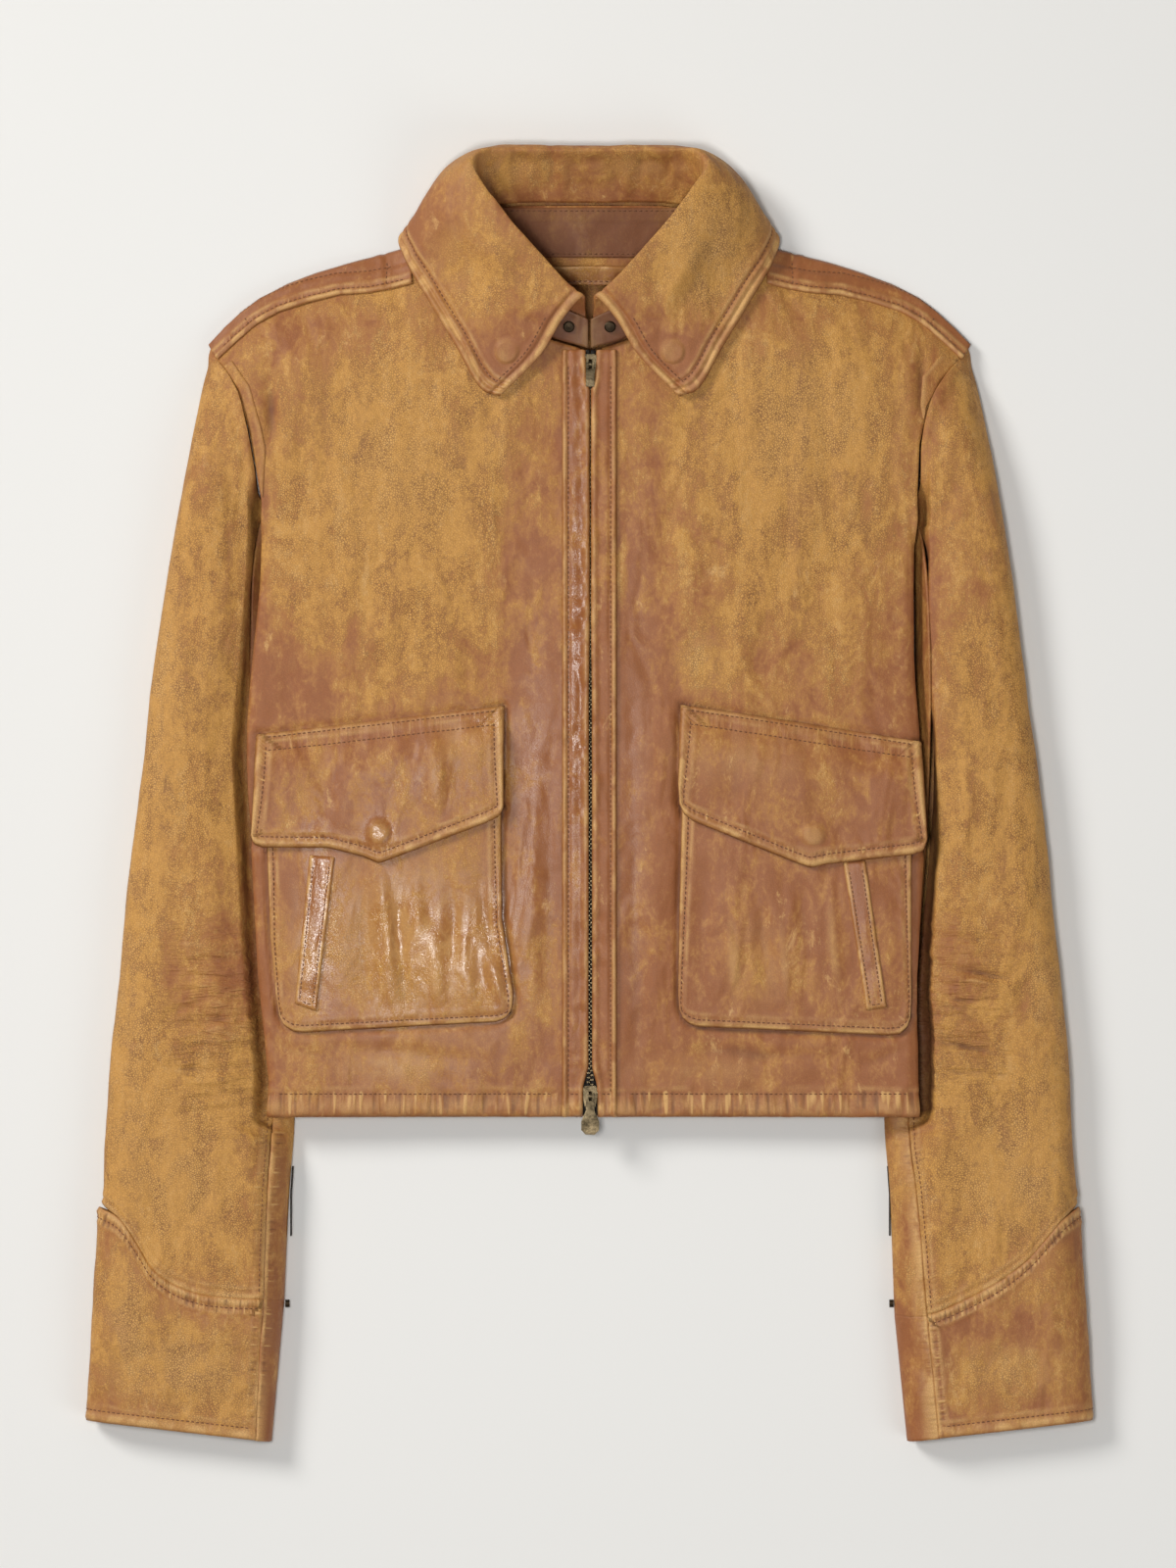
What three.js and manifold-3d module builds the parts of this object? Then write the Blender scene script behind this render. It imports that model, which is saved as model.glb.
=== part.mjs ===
// A worn, cropped leather zip jacket, laid flat on its back with the front up.
// Millimetres. X runs to the viewer's right, Y to the collar and Z up from the surface it lies on.
// Left and right are the viewer's. The origin lies under the middle of the outline.
import * as THREE from "three";
import { mergeVertices } from "three/addons/utils/BufferGeometryUtils.js";
import Module from "manifold-3d";

const wasm = await Module();
wasm.setup();

// Driving sizes
const LEATHER = 1.4; // one layer
const COLLAR_LEATHER = 2.4; // two layers sewn together
const SEAM_GAP = 0.4; // between neighbours at a seam, and under what lies on a panel
const HEM_Y = -181.8;
const UNDERARM_Y = 150;
const NECK_FRONT_Y = 249.5;
const BODY_CROWN = 27; // height of the front over the surface, at the chest
const BODY_EDGE_HEIGHT = 22; // height of the rounded side fold
const SLEEVE_CROWN = 25;
const SLEEVE_TUCK_HEIGHT = 9.5; // where the sleeve runs under the body
const BACK_LIFT = 10; // the back rises by this over the tucked sleeve
const COLLAR_LIFT = 4.3; // the back rises by this over the turned-down collar
const BACK_HALF_WIDTH = 178;
const SIDE_SEAM_INSET = 6; // from the side fold to the front's side seam
const GUSSET_FOLD_X = 118; // how far in the side panel is folded
const ZIP_X = 0.4; // the zip's middle
const TAPE_THICKNESS = 0.9;

const V2 = (x, y) => new THREE.Vector2(x, y);
const V3 = (x, y, z) => new THREE.Vector3(x, y, z);
const lerp = THREE.MathUtils.lerp;
const clamp01 = (t) => Math.min(1, Math.max(0, t));
const ease = (t) => clamp01(t) ** 2 * (3 - 2 * clamp01(t));
const steps = (count) => Array.from({ length: count }, (_, i) => i / (count - 1));
const between = (from, to, count) => steps(count).map((t) => lerp(from, to, t));

// A value read from pairs [where, value] that rise in where.
function along(pairs, where) {
  const last = pairs.length - 1;
  if (where <= pairs[0][0]) return pairs[0][1];
  if (where >= pairs[last][0]) return pairs[last][1];
  const k = pairs.findIndex((pair) => pair[0] > where);
  const [a, b] = [pairs[k - 1], pairs[k]];
  return lerp(a[1], b[1], (where - a[0]) / (b[0] - a[0]));
}

// A smooth plan curve through points [x, y], read by the share of its length.
function curve(points) {
  const spline = new THREE.CatmullRomCurve3(points.map(([x, y]) => V3(x, y, 0)));
  spline.arcLengthDivisions = 400;
  return (t) => {
    const p = spline.getPointAt(clamp01(t));
    return V2(p.x, p.y);
  };
}

// A plan curve of straight runs through points [x, y], read by the share of its length.
function outline(points) {
  const path = new THREE.CurvePath();
  for (let k = 1; k < points.length; k += 1) {
    path.add(new THREE.LineCurve(V2(...points[k - 1]), V2(...points[k])));
  }
  return (t) => path.getPointAt(clamp01(t));
}

// The plan patch between four curves that meet at its corners.
function patch(bottom, top, inner, outer) {
  return (u, v) => {
    const along_v = bottom(u).multiplyScalar(1 - v).add(top(u).multiplyScalar(v));
    const along_u = inner(v).multiplyScalar(1 - u).add(outer(v).multiplyScalar(u));
    const corners = bottom(0).multiplyScalar((1 - u) * (1 - v))
      .add(bottom(1).multiplyScalar(u * (1 - v)))
      .add(top(0).multiplyScalar((1 - u) * v))
      .add(top(1).multiplyScalar(u * v));
    return along_v.add(along_u).sub(corners);
  };
}

const mirrored = (rows) => rows.map((row) => row.map((p) => V3(-p.x, p.y, p.z))).reverse();

// The outward directions at a grid's points: du x dv
function normalsOf(rows) {
  const [lastU, lastV] = [rows.length - 1, rows[0].length - 1];
  const at = (i, j) => rows[Math.min(lastU, Math.max(0, i))][Math.min(lastV, Math.max(0, j))];
  return rows.map((row, i) => row.map((_, j) => {
    const du = at(i + 1, j).clone().sub(at(i - 1, j));
    const dv = at(i, j + 1).clone().sub(at(i, j - 1));
    return du.cross(dv).normalize();
  }));
}

// A wall of even thickness: rows hold the points of its outer face, du x dv points out.
function wall(rows, thickness) {
  const [nu, nv] = [rows.length, rows[0].length];
  const normals = normalsOf(rows);
  const positions = [];
  const outer = (i, j) => 2 * (i * nv + j);
  const inner = (i, j) => 2 * (i * nv + j) + 1;
  for (let i = 0; i < nu; i += 1) {
    for (let j = 0; j < nv; j += 1) {
      const p = rows[i][j];
      positions.push(...p, ...p.clone().addScaledVector(normals[i][j], -thickness));
    }
  }
  const faces = [];
  const quad = (a, b, c, d) => faces.push(a, b, c, a, c, d);
  for (let i = 0; i < nu - 1; i += 1) {
    for (let j = 0; j < nv - 1; j += 1) {
      quad(outer(i, j), outer(i + 1, j), outer(i + 1, j + 1), outer(i, j + 1));
      quad(inner(i, j), inner(i, j + 1), inner(i + 1, j + 1), inner(i + 1, j));
    }
  }
  const rim = (i, j, k, l) => quad(outer(k, l), outer(i, j), inner(i, j), inner(k, l));
  for (let i = 0; i < nu - 1; i += 1) {
    rim(i, 0, i + 1, 0);
    rim(i + 1, nv - 1, i, nv - 1);
  }
  for (let j = 0; j < nv - 1; j += 1) {
    rim(nu - 1, j, nu - 1, j + 1);
    rim(0, j + 1, 0, j);
  }
  const geometry = new THREE.BufferGeometry();
  geometry.setAttribute("position", new THREE.Float32BufferAttribute(positions, 3));
  geometry.setIndex(faces);
  return geometry;
}

const jacket = new THREE.Group();
const FINISHES = {
  tan: { color: "#b9813f", roughness: 0.55, metalness: 0 },
  brown: { color: "#8e5631", roughness: 0.45, metalness: 0 },
  edge: { color: "#a06a38", roughness: 0.5, metalness: 0 },
  inside: { color: "#6f4427", roughness: 0.6, metalness: 0 },
  tape: { color: "#2b2622", roughness: 0.9, metalness: 0 },
  brass: { color: "#8a744b", roughness: 0.4, metalness: 0.9 },
};

function addMesh(name, geometry, finish) {
  const mesh = new THREE.Mesh(geometry, new THREE.MeshStandardMaterial(FINISHES[finish]));
  mesh.name = name;
  jacket.add(mesh);
  return mesh;
}

const addWall = (name, rows, thickness, finish) => addMesh(name, wall(rows, thickness), finish);

// Side outlines, as distances from the middle
const SIDES = {
  left: {
    place: (rows) => mirrored(rows),
    sign: -1,
    fold: [[HEM_Y, 181.5], [-161, 180.6], [-136, 182.9], [-99, 186.7], [-25, 190.6], [27, 193.3],
      [50, 191.7], [85, 188.4], [120, 185], [150, 184.2]],
    armhole: [[184.5, 164], [187.6, 182], [191.6, 204], [198.2, 227], [209.8, 243.9]],
    cuffSeam: [[202.4, -282.9], [219.2, -280.7], [235.1, -274.5], [246.1, -265.4], [252.9, -254.3],
      [264.3, -238.4]],
    cuffSeamInnerY: -283.8,
    sleeveSeam: [[-364, 0.092], [-204, 0.105], [150, 0.12]],
    plackEdge: [[HEM_Y, 5.8], [-160, 5.6], [-150, 2.6], [60, 2.2], [95, 1.2], [218, 1.2], [226, 4.6]],
  },
  right: {
    place: (rows) => rows,
    sign: 1,
    fold: [[HEM_Y, 185.6], [-160, 185.1], [-134, 185.1], [-116, 183.4], [-94, 184.5], [-28, 188.5],
      [27, 186.5], [50, 184.5], [76, 182.6], [116, 182.4], [150, 183]],
    armhole: [[184.5, 168], [185.8, 196], [190.4, 217], [198.5, 232], [210.4, 245.6]],
    cuffSeam: [[187.3, -292.9], [209.3, -284.6], [231.8, -272.3], [248.6, -258.8], [265.4, -239.5]],
    cuffSeamInnerY: -292.9,
    sleeveSeam: [[-364, 0.175], [-293, 0.15], [-204, 0.12], [150, 0.12]],
    plackEdge: [[HEM_Y, 6.6], [-160, 6.4], [-150, 3.6], [60, 3.4], [95, 2], [218, 2], [226, 6.8]],
  },
};

// The shoulder fold, seen from above, and the sleeve's two edges
const SHOULDER_FOLD = [[76, 316.5], [106, 306.6], [130, 300.3], [154, 293], [170, 287], [186, 278.8],
  [196, 271.5], [206, 262.5], [214.6, 253]];
const SHOULDER_SEAM_INSET = 2.6;
const SHOULDER_SEAM = SHOULDER_FOLD.map(([x, y]) => [x - 1.2, y - SHOULDER_SEAM_INSET]);
const SHOULDER_TIP = [213.4, 250.4];
const SLEEVE_INNER = [[169, -226], [166, -182], [168.5, -140], [173.5, -90], [180, -30],
  [183, 30], [183.5, 80], [182.5, 115], [179.8, 138], [176, UNDERARM_Y + 1]];
const SLEEVE_OUTER = [[274.3, -231], [271.7, -182], [268.1, -138], [263.5, -94], [259, -50],
  [254.1, -6], [248.6, 38], [243.1, 82], [236.7, 126], [229.3, 170], [221, 214], SHOULDER_TIP];
const CUFF_TOP_OUTER = [276, -233];
const CUFF_END_INNER = [178.7, -364.4];
const CUFF_END_OUTER = [283.5, -352.5];
const sleeveInnerX = (y) => along(SLEEVE_INNER.map(([x, yy]) => [yy, x]), y);

// Distance from a plan point to the shoulder fold, and the rounding of the front towards it
function belowShoulder(x, y) {
  const [firstX, firstY] = SHOULDER_SEAM[0];
  const [lastX, lastY] = SHOULDER_SEAM[SHOULDER_SEAM.length - 1];
  let fold = along(SHOULDER_SEAM, x);
  if (x < firstX) fold = firstY + (firstX - x) * 0.9;
  if (x > lastX) fold = lastY - (x - lastX) * 2.5;
  return Math.max(0, (fold - y) * 0.88);
}
const SHOULDER_ROUNDING = 70;
const SHOULDER_EDGE_HEIGHT = 3.6;
const shouldered = (height, x, y) => lerp(
  SHOULDER_EDGE_HEIGHT + COLLAR_LIFT * ease((112 - x) / 14),
  height,
  1 - (1 - clamp01(belowShoulder(x, y) / SHOULDER_ROUNDING)) ** 2.6,
);

// Height of the front's outer face
const CROWN = [[HEM_Y, 19.5], [-140, 22.5], [-60, 25.5], [60, BODY_CROWN], [160, BODY_CROWN], [250, 25.5]];
function frontHeight(x, y) {
  const across = ease(Math.abs(x) / 186 - 0.35);
  const height = lerp(along(CROWN, y), BODY_EDGE_HEIGHT, across / ease(0.65));
  return shouldered(height, Math.abs(x), y);
}

// Height of the back's under face: flat, but for the tucked sleeve and the turned-down collar
function backHeight(x, y) {
  const overSleeve = ease((Math.abs(x) - (sleeveInnerX(y) - 18)) / 15) * ease((5 - y) / 45);
  const overCollar = ease((y - 288) / 14) * ease((95 - Math.abs(x)) / 14);
  return BACK_LIFT * overSleeve + COLLAR_LIFT * overCollar;
}

// Shares of a body panel's height where its points stand, closer at the armhole and shoulder
const PANEL_ROWS = [0, 0.1, 0.22, 0.34, 0.46, 0.57, 0.66, 0.73, 0.77, 0.81, 0.85, 0.89, 0.925, 0.955, 0.98, 1];

const BACK_COLUMNS = [0, 45, 85, 118, 140, 152, 162, 170, BACK_HALF_WIDTH];

// The body: back, two fronts, and a side panel folded in on each side
function backRows() {
  const half = (side) => {
    const sidePoints = [[BACK_HALF_WIDTH, HEM_Y], [BACK_HALF_WIDTH, -60], [BACK_HALF_WIDTH, 60],
      [BACK_HALF_WIDTH, 132], [174, UNDERARM_Y], [177.6, 159]];
    const armhole = side.armhole.map(([x, y]) => [x - SEAM_GAP - 0.8, y]);
    const tip = SHOULDER_SEAM[SHOULDER_SEAM.length - 1];
    return patch(
      outline([[0, HEM_Y], [BACK_HALF_WIDTH, HEM_Y]]),
      outline([[0, 330.6], [42, 330.4], [62, 326.6], [72, 319], ...SHOULDER_SEAM]),
      outline([[0, HEM_Y], [0, 330.6]]),
      outline([...sidePoints, ...armhole, tip]),
    );
  };
  const [left, right] = [half(SIDES.left), half(SIDES.right)];
  const acrossHalf = BACK_COLUMNS.map((x) => x / BACK_HALF_WIDTH);
  const across = [...acrossHalf.slice(1).reverse().map((u) => -u), ...acrossHalf];
  return across.map((u) => PANEL_ROWS.map((v) => {
    const p = u < 0 ? left(-u, v) : right(u, v);
    const x = u < 0 ? -p.x : p.x;
    return V3(x, p.y, backHeight(x, p.y));
  })).reverse();
}

function frontPatch(side) {
  const seamX = (y) => along(side.fold, y) - SIDE_SEAM_INSET;
  const sidePoints = between(HEM_Y, 138, 9).map((y) => [seamX(y), y]);
  const middleX = (y) => along(side.plackEdge, y) + 2;
  const middle = [HEM_Y, -160, -150, 60, 218, 226, NECK_FRONT_Y].map((y) => [middleX(y), y]);
  const armhole = side.armhole.map(([x, y]) => [x - SEAM_GAP - 0.2, y]);
  const tip = SHOULDER_SEAM[SHOULDER_SEAM.length - 1];
  return patch(
    outline([middle[0], sidePoints[0]]),
    outline([middle[middle.length - 1], [22, 254.3], [42, 267.5], [60, 286], [69, 302], ...SHOULDER_SEAM]),
    outline(middle),
    outline([...sidePoints, [side.armhole[0][0] - 2, 154], ...armhole, tip]),
  );
}

const onFront = (p, lift) => V3(p.x, p.y, frontHeight(p.x, p.y) + lift);

function frontRows(side) {
  const plan = frontPatch(side);
  const across = [0, 0.14, 0.28, 0.42, 0.56, 0.68, 0.78, 0.87, 0.94, 1];
  return across.map((u) => PANEL_ROWS.map((v) => onFront(plan(u, v), 0)));
}

function sideRows(side) {
  const stations = between(HEM_Y, UNDERARM_Y - 10, 11);
  return stations.map((y) => {
    const fold = along(side.fold, y);
    const top = frontHeight(fold - SIDE_SEAM_INSET, y);
    const nearby = [-18, 0, 18].map((shift) => y + shift);
    const backTop = (x) => Math.max(...nearby.map((yy) => backHeight(x, yy))) + 2 * LEATHER + SEAM_GAP;
    const lapped = top - LEATHER - SEAM_GAP;
    const section = [
      [fold - SIDE_SEAM_INSET - 5, lapped],
      [fold - SIDE_SEAM_INSET + 0.8, lapped],
      [fold - 2.8, top - 1],
      [fold - 0.8, top - 2.2],
      [fold, top - 3.8],
      [fold - 0.9, top - 5.3],
      [fold - 3.2, top - 6.4],
      [fold - 12, top - 6.8],
      [158, 13.4],
      [134, 13.2],
      [GUSSET_FOLD_X + 3, 13],
      [GUSSET_FOLD_X, 11],
      [GUSSET_FOLD_X - 1, 8.5],
      [GUSSET_FOLD_X + 1, 6],
      [GUSSET_FOLD_X + 6, 4.4],
      ...BACK_COLUMNS.slice(4).map((x) => [x, backTop(x) + 0.9]),
    ];
    return section.map(([x, z]) => V3(x, y, z));
  });
}

// The sleeves and cuffs: flattened tubes, each with a top and an under piece
function sleeveHeight(side, x, y) {
  const fold = y < UNDERARM_Y ? along(side.fold, y) : 184;
  const tucked = ease((180 - y) / 22);
  const pastHem = ease((HEM_Y - 10 - y) / 25);
  const joined = lerp(BODY_EDGE_HEIGHT - 0.4, SLEEVE_TUCK_HEIGHT, tucked);
  const low = lerp(joined, 15, pastHem);
  const rise = ease((x - fold - 1 + 16 * pastHem) / 26);
  const crown = lerp(SLEEVE_CROWN, 20, ease((-280 - y) / 80));
  return shouldered(lerp(low, crown, rise), x, y);
}

const cuffSeamPoints = (side, shift) => [
  [171.6, side.cuffSeamInnerY + shift],
  ...side.cuffSeam.map(([x, y]) => [x, y + shift]),
  [274.3, -231 + shift],
];

function sleevePatch(side) {
  const inner = [[171.6, side.cuffSeamInnerY], ...SLEEVE_INNER];
  const armhole = side.armhole.map(([x, y]) => [x + SEAM_GAP + 0.5, y + 1]);
  return patch(
    curve(cuffSeamPoints(side, 0)),
    curve([SLEEVE_INNER[SLEEVE_INNER.length - 1], [180.6, 160], ...armhole, SHOULDER_TIP]),
    curve(inner),
    curve(SLEEVE_OUTER),
  );
}

function cuffPatch(side) {
  const seam = cuffSeamPoints(side, -SEAM_GAP - 0.2);
  seam[seam.length - 1] = CUFF_TOP_OUTER;
  return patch(
    outline([CUFF_END_INNER, CUFF_END_OUTER]),
    curve(seam),
    outline([CUFF_END_INNER, seam[0]]),
    outline([CUFF_END_OUTER, CUFF_TOP_OUTER]),
  );
}

const ROUND_FROM = 0.72; // share of the width where the outer edge starts to round
const INNER_ROUND = 0.07;
const SQUARENESS = 0.8;
const SLEEVE_SIDE_LEVEL = 0.42; // height of the widest point, as a share of the sleeve's height
const radians = THREE.MathUtils.degToRad;

// One point of the tube: where is [kind, amount], as topSection and underSection list them.
function tubePoint(side, plan, v, [kind, amount]) {
  if (kind === "round") {
    const angle = radians(amount);
    const u = ROUND_FROM + (1 - ROUND_FROM) * Math.cos(angle) ** SQUARENESS;
    const p = plan(u, v);
    const height = sleeveHeight(side, p.x, p.y);
    const level = SLEEVE_SIDE_LEVEL * height;
    const swing = Math.sign(angle) * Math.abs(Math.sin(angle)) ** SQUARENESS;
    return V3(p.x, p.y, level + swing * (angle > 0 ? height - level : level));
  }
  if (kind === "inner") {
    const angle = radians(amount);
    const p = plan(INNER_ROUND * (1 - Math.cos(angle)), v);
    const height = sleeveHeight(side, p.x, p.y);
    return V3(p.x, p.y, (height / 2) * (1 + Math.sin(angle)));
  }
  const p = plan(amount, v);
  return V3(p.x, p.y, kind === "top" ? sleeveHeight(side, p.x, p.y) : 0);
}

const seamShare = (side, plan, v) => along(side.sleeveSeam, plan(0.1, v).y);

function topSection(seam) {
  const flat = between(seam, ROUND_FROM, 6).map((u) => ["top", u]);
  return [...flat, ...[68, 42, 18, 0, -22, -48, -80].map((angle) => ["round", angle])];
}

function underSection(seam) {
  const flat = between(ROUND_FROM - 0.012, INNER_ROUND, 5).map((u) => ["under", u]);
  const edge = [-50, 0, 50].map((angle) => ["inner", angle]);
  return [...flat, ...edge, ["top", INNER_ROUND], ["top", seam - 0.015]];
}

function tubeRows(side, plan, section, lengthwise) {
  return lengthwise.map((v) => section(seamShare(side, plan, v))
    .map((where) => tubePoint(side, plan, v, where)));
}

// The collar: sections from the fall's edge, over the roll, down to the neck seam.
// Each station gives plan points and heights: fall edge, two on the fall, roll, inside, neck seam.
const onLeaf = (x, y, lift) => [x, y, frontHeight(x, y) + lift];
const COLLAR_STATIONS = [
  [
    onLeaf(50.4, 223.2, 3.4), onLeaf(32, 244, 6.4), [17.5, 265, 36], [6, 277.6, 38.4], [4, 272, 30],
    [3.4, 251.6, 23.8],
  ],
  [
    onLeaf(60, 226, 3.4), onLeaf(42, 250, 7.4), [27, 273, 38.6], [15, 288.5, 40.4], [14.5, 279, 32],
    [22, 258.2, 23.6],
  ],
  [
    onLeaf(75, 250.5, 3.8), onLeaf(58, 269, 8.4), [42, 290, 39.6], [29.8, 304.5, 41.6],
    [31, 293, 33.5], [42, 272, 23],
  ],
  [
    onLeaf(89.4, 274.7, 3.8), onLeaf(74, 292, 10), [58, 310, 40], [44.8, 321.5, 42], [47, 310, 33],
    [60, 291, 20.4],
  ],
  [
    [103.9, 300, 15], [91.5, 313, 26], [74, 329, 37], [57, 338.5, 40], [60, 326, 29],
    [70.5, 306.5, 15],
  ],
  [
    [106.6, 312.6, 6.4], [97.5, 325, 17], [83.5, 342, 28], [65.5, 352.5, 35], [63, 342, 23],
    [73, 321.5, 9.6],
  ],
  [[85, 318, 0], [91, 332, 4], [78, 353.5, 15], [60, 360.5, 27], [58, 350, 20], [62, 329.5, 6.8]],
  [
    [46, 315.5, 0], [50, 347, 0.4], [50, 363.8, 9], [44, 361.5, 23.6], [43, 353, 18],
    [41, 332.2, 6.2],
  ],
  [[0, 314.5, 0], [0, 347, 0.4], [0, 364.4, 9], [0, 361.5, 22.4], [0, 353, 17], [0, 332.2, 6.2]],
];

const COLLAR_BACK_Y = 364.4;

function collarCurves() {
  const full = [
    ...COLLAR_STATIONS.map((station) => station.map(([x, y, z]) => V3(-x, y, z))),
    ...COLLAR_STATIONS.slice(0, -1).reverse().map((station) => station.map((p) => V3(...p))),
  ];
  return COLLAR_STATIONS[0].map((_, k) => new THREE.CatmullRomCurve3(full.map((s) => s[k])));
}

function collarRows() {
  const lines = collarCurves();
  return steps(29).map((s) => {
    const section = new THREE.CatmullRomCurve3(lines.map((line) => line.getPoint(s)));
    return section.getPoints(10).map((p) => V3(p.x, Math.min(p.y, COLLAR_BACK_Y), Math.max(p.z, 0)));
  });
}

// The stand backs the collar's inner wall from the front end to past the shoulder, under the fall.
const STAND_LEATHER = 1.2;
function standRows() {
  const rows = collarRows().reverse();
  const normals = normalsOf(rows);
  const depth = COLLAR_LEATHER + SEAM_GAP + STAND_LEATHER;
  const length = 9;
  return [[10, 10, 0], [9, 9, 0], [9, 8, 0.5]].map(([j, k, t]) => rows.slice(0, length).map(
    (row, i) => row[j].clone().lerp(row[k], t).addScaledVector(normals[i][j], -depth),
  ));
}

// What lies on the fronts
function laidRows(plan, across, up, height) {
  return across.map((u) => up.map((v) => {
    const p = plan(u, v);
    return V3(p.x, p.y, height(p.x, p.y, u, v));
  }));
}

const PLACKET_OUTER_X = 15.4;
const PLACKET_LIFT = SEAM_GAP + LEATHER;
function placketRows(side) {
  const edge = (y) => along(side.plackEdge, y);
  const stations = [HEM_Y, -160, -150, -110, -70, -30, 20, 60, 95, 140, 180, 218, 226, NECK_FRONT_Y - 1];
  return [0, 0.4, 1].map((u) => stations.map((y) => {
    const x = lerp(edge(y), PLACKET_OUTER_X, u);
    return V3(x, y, frontHeight(x, y) + PLACKET_LIFT);
  }));
}

const POCKETS = {
  left: {
    inner: [[49.5, 10], [48.3, -71.2], [42.2, -111.9], [44.8, -123]],
    bottom: [[44.8, -123], [50, -128.6], [168.7, -134.5], [172.5, -129]],
    outer: [[183, 10], [181.8, -30], [178.5, -91.6], [172.5, -129]],
    flapTop: [[47.6, 49.2], [100, 43], [187.3, 32.9]],
    flapBottom: [[47.7, -12.9], [119.6, -39.3], [184, -31.5], [190, -25]],
    flapInner: [[47.7, -12.9], [47.6, 49.2]],
    flapOuter: [[190, -25], [187.3, 32.9]],
    welt: [[157, -34.9], [142.7, -36], [153.2, -122.4], [165.3, -118]],
    snap: [118, -21.7],
  },
  right: {
    inner: [[51.5, 10], [49.8, -71.2], [49.2, -116.3], [51, -123]],
    bottom: [[51, -123], [60, -131.2], [160.9, -135.4], [178.5, -128.4]],
    outer: [[181.5, 10], [181.2, -35.5], [180.7, -111.9], [178.5, -128.4]],
    flapTop: [[51.1, 49.6], [100, 42.5], [186.5, 28.9]],
    flapBottom: [[50.7, -13.5], [123.9, -42.4], [183, -35], [188.9, -30]],
    flapInner: [[50.7, -13.5], [51.1, 49.6]],
    flapOuter: [[188.9, -30], [186.5, 28.9]],
    welt: [[154.8, -37.7], [142.2, -38.8], [155.4, -121.8], [166.9, -120.2]],
    snap: [125, -23.2],
  },
};
const POCKET_FULLNESS = 2;
const FLAP_FULLNESS = 1.2;
const swell = (u, v) => Math.sin(Math.PI * clamp01(u)) ** 0.5 * Math.sin(Math.PI * clamp01(v)) ** 0.5;

const pocketPatch = (pocket) => patch(
  outline(pocket.bottom),
  outline([pocket.inner[0], pocket.outer[0]]),
  outline([...pocket.inner].reverse()),
  outline([...pocket.outer].reverse()),
);
const pocketHeight = (x, y, u, v) => {
  const laid = frontHeight(x, y) + SEAM_GAP + LEATHER;
  return laid + POCKET_FULLNESS * swell(u, v * 0.8);
};

const flapPatch = (pocket) => patch(
  outline(pocket.flapBottom),
  outline(pocket.flapTop),
  outline(pocket.flapInner),
  outline(pocket.flapOuter),
);
const FLAP_LIFT = 6.9;
const FLAP_LEATHER = 1.6;
const flapHeight = (x, y, u, v) => frontHeight(x, y) + FLAP_FULLNESS * swell(u, v)
  + lerp(FLAP_LIFT, SEAM_GAP + LEATHER, ease((v - 0.62) / 0.38));

const WELT_THICKNESS = 1.1;
function weltRows(pocket) {
  const [topOuter, topInner, bottomInner, bottomOuter] = pocket.welt.map(([x, y]) => V2(x, y));
  return steps(3).map((u) => steps(6).map((v) => {
    const p = bottomInner.clone().lerp(bottomOuter, u).lerp(topInner.clone().lerp(topOuter, u), v);
    return V3(p.x, p.y, pocketHeight(p.x, p.y, (p.x - 50) / 130, (p.y + 131) / 141) + WELT_THICKNESS + 0.3);
  }));
}

function epauletteRows(side) {
  const lower = outline([[100, 286.6], [111.4, 284], [124, 281.8], [140.9, 280.8], [157.7, 276.8],
    [174.6, 271.6], [187.3, 264.6], [197.2, 256.4], [209.6, 244.8]]);
  const seam = outline([[100.5, 305.8], ...SHOULDER_SEAM.slice(1)]);
  const fold = outline([[101.5, 308.4], ...SHOULDER_FOLD.slice(1)]);
  return steps(10).map((s) => {
    const [a, b, c] = [lower(s), seam(s), fold(s)];
    const onTop = [0, 0.4, 0.75].map((t) => onFront(a.clone().lerp(b, t), SEAM_GAP + LEATHER + 0.3));
    const brow = b.clone().lerp(c, 0.65);
    return [...onTop, V3(brow.x, brow.y, frontHeight(b.x, b.y) + 1.8), V3(c.x, c.y, 2.2)];
  });
}

const BAND_LEATHER = 1;
const BAND_SLANT = 0.25;
function armholeBandRows(side) {
  const width = side.sign < 0 ? 6 : 10;
  const line = outline(side.armhole.map(([x, y]) => [x - 1.2, y]));
  const from = side.sign < 0 ? 0.03 : 0.5;
  return [1, 0.5, 0].map((u) => between(from, 0.97, 8).map((t) => {
    const p = line(t);
    return onFront(V2(p.x - width * u, p.y + width * u * BAND_SLANT), SEAM_GAP + BAND_LEATHER);
  }));
}

// Inside the back neck: a facing band, and the hanger loop below it
const FACING = { low: 302, high: 329.4, halfLow: 61, halfHigh: 56 };
const HANGER = { low: 285, high: 295, half: 33, rise: 2.5 };
const FACING_LEATHER = 1.2;
const onBackInside = (x, y, lift) => V3(x, y, backHeight(x, y) + LEATHER + SEAM_GAP + lift);

function facingRows() {
  return between(-1, 1, 9).map((u) => between(0, 1, 4).map((v) => onBackInside(
    u * lerp(FACING.halfLow, FACING.halfHigh, v),
    lerp(FACING.low, FACING.high, v),
    FACING_LEATHER,
  )));
}

function hangerRows() {
  return between(-1, 1, 9).map((u) => [HANGER.low, (HANGER.low + HANGER.high) / 2, HANGER.high].map((y) => {
    const arch = HANGER.rise * (1 - u * u);
    return onBackInside(u * HANGER.half, y + 0.5 * arch, 1.6 + arch);
  }));
}

// Sleeve vent: a strip of zip tape beside the inner edge, and the stud that ends it at the cuff seam
const VENT = { low: -249, high: -210, bottom: 3, top: 8, clear: 0.55, stopX: 170, stopY: -287.2, stopZ: 7 };
const VENT_STOP_RADIUS = 2.2;
const VENT_STOP_LENGTH = 2.4;
function ventRows() {
  return between(VENT.low, VENT.high, 4).map((y) => [VENT.bottom, VENT.top].map(
    (z) => V3(sleeveInnerX(y) - VENT.clear, y, z),
  ));
}

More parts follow.
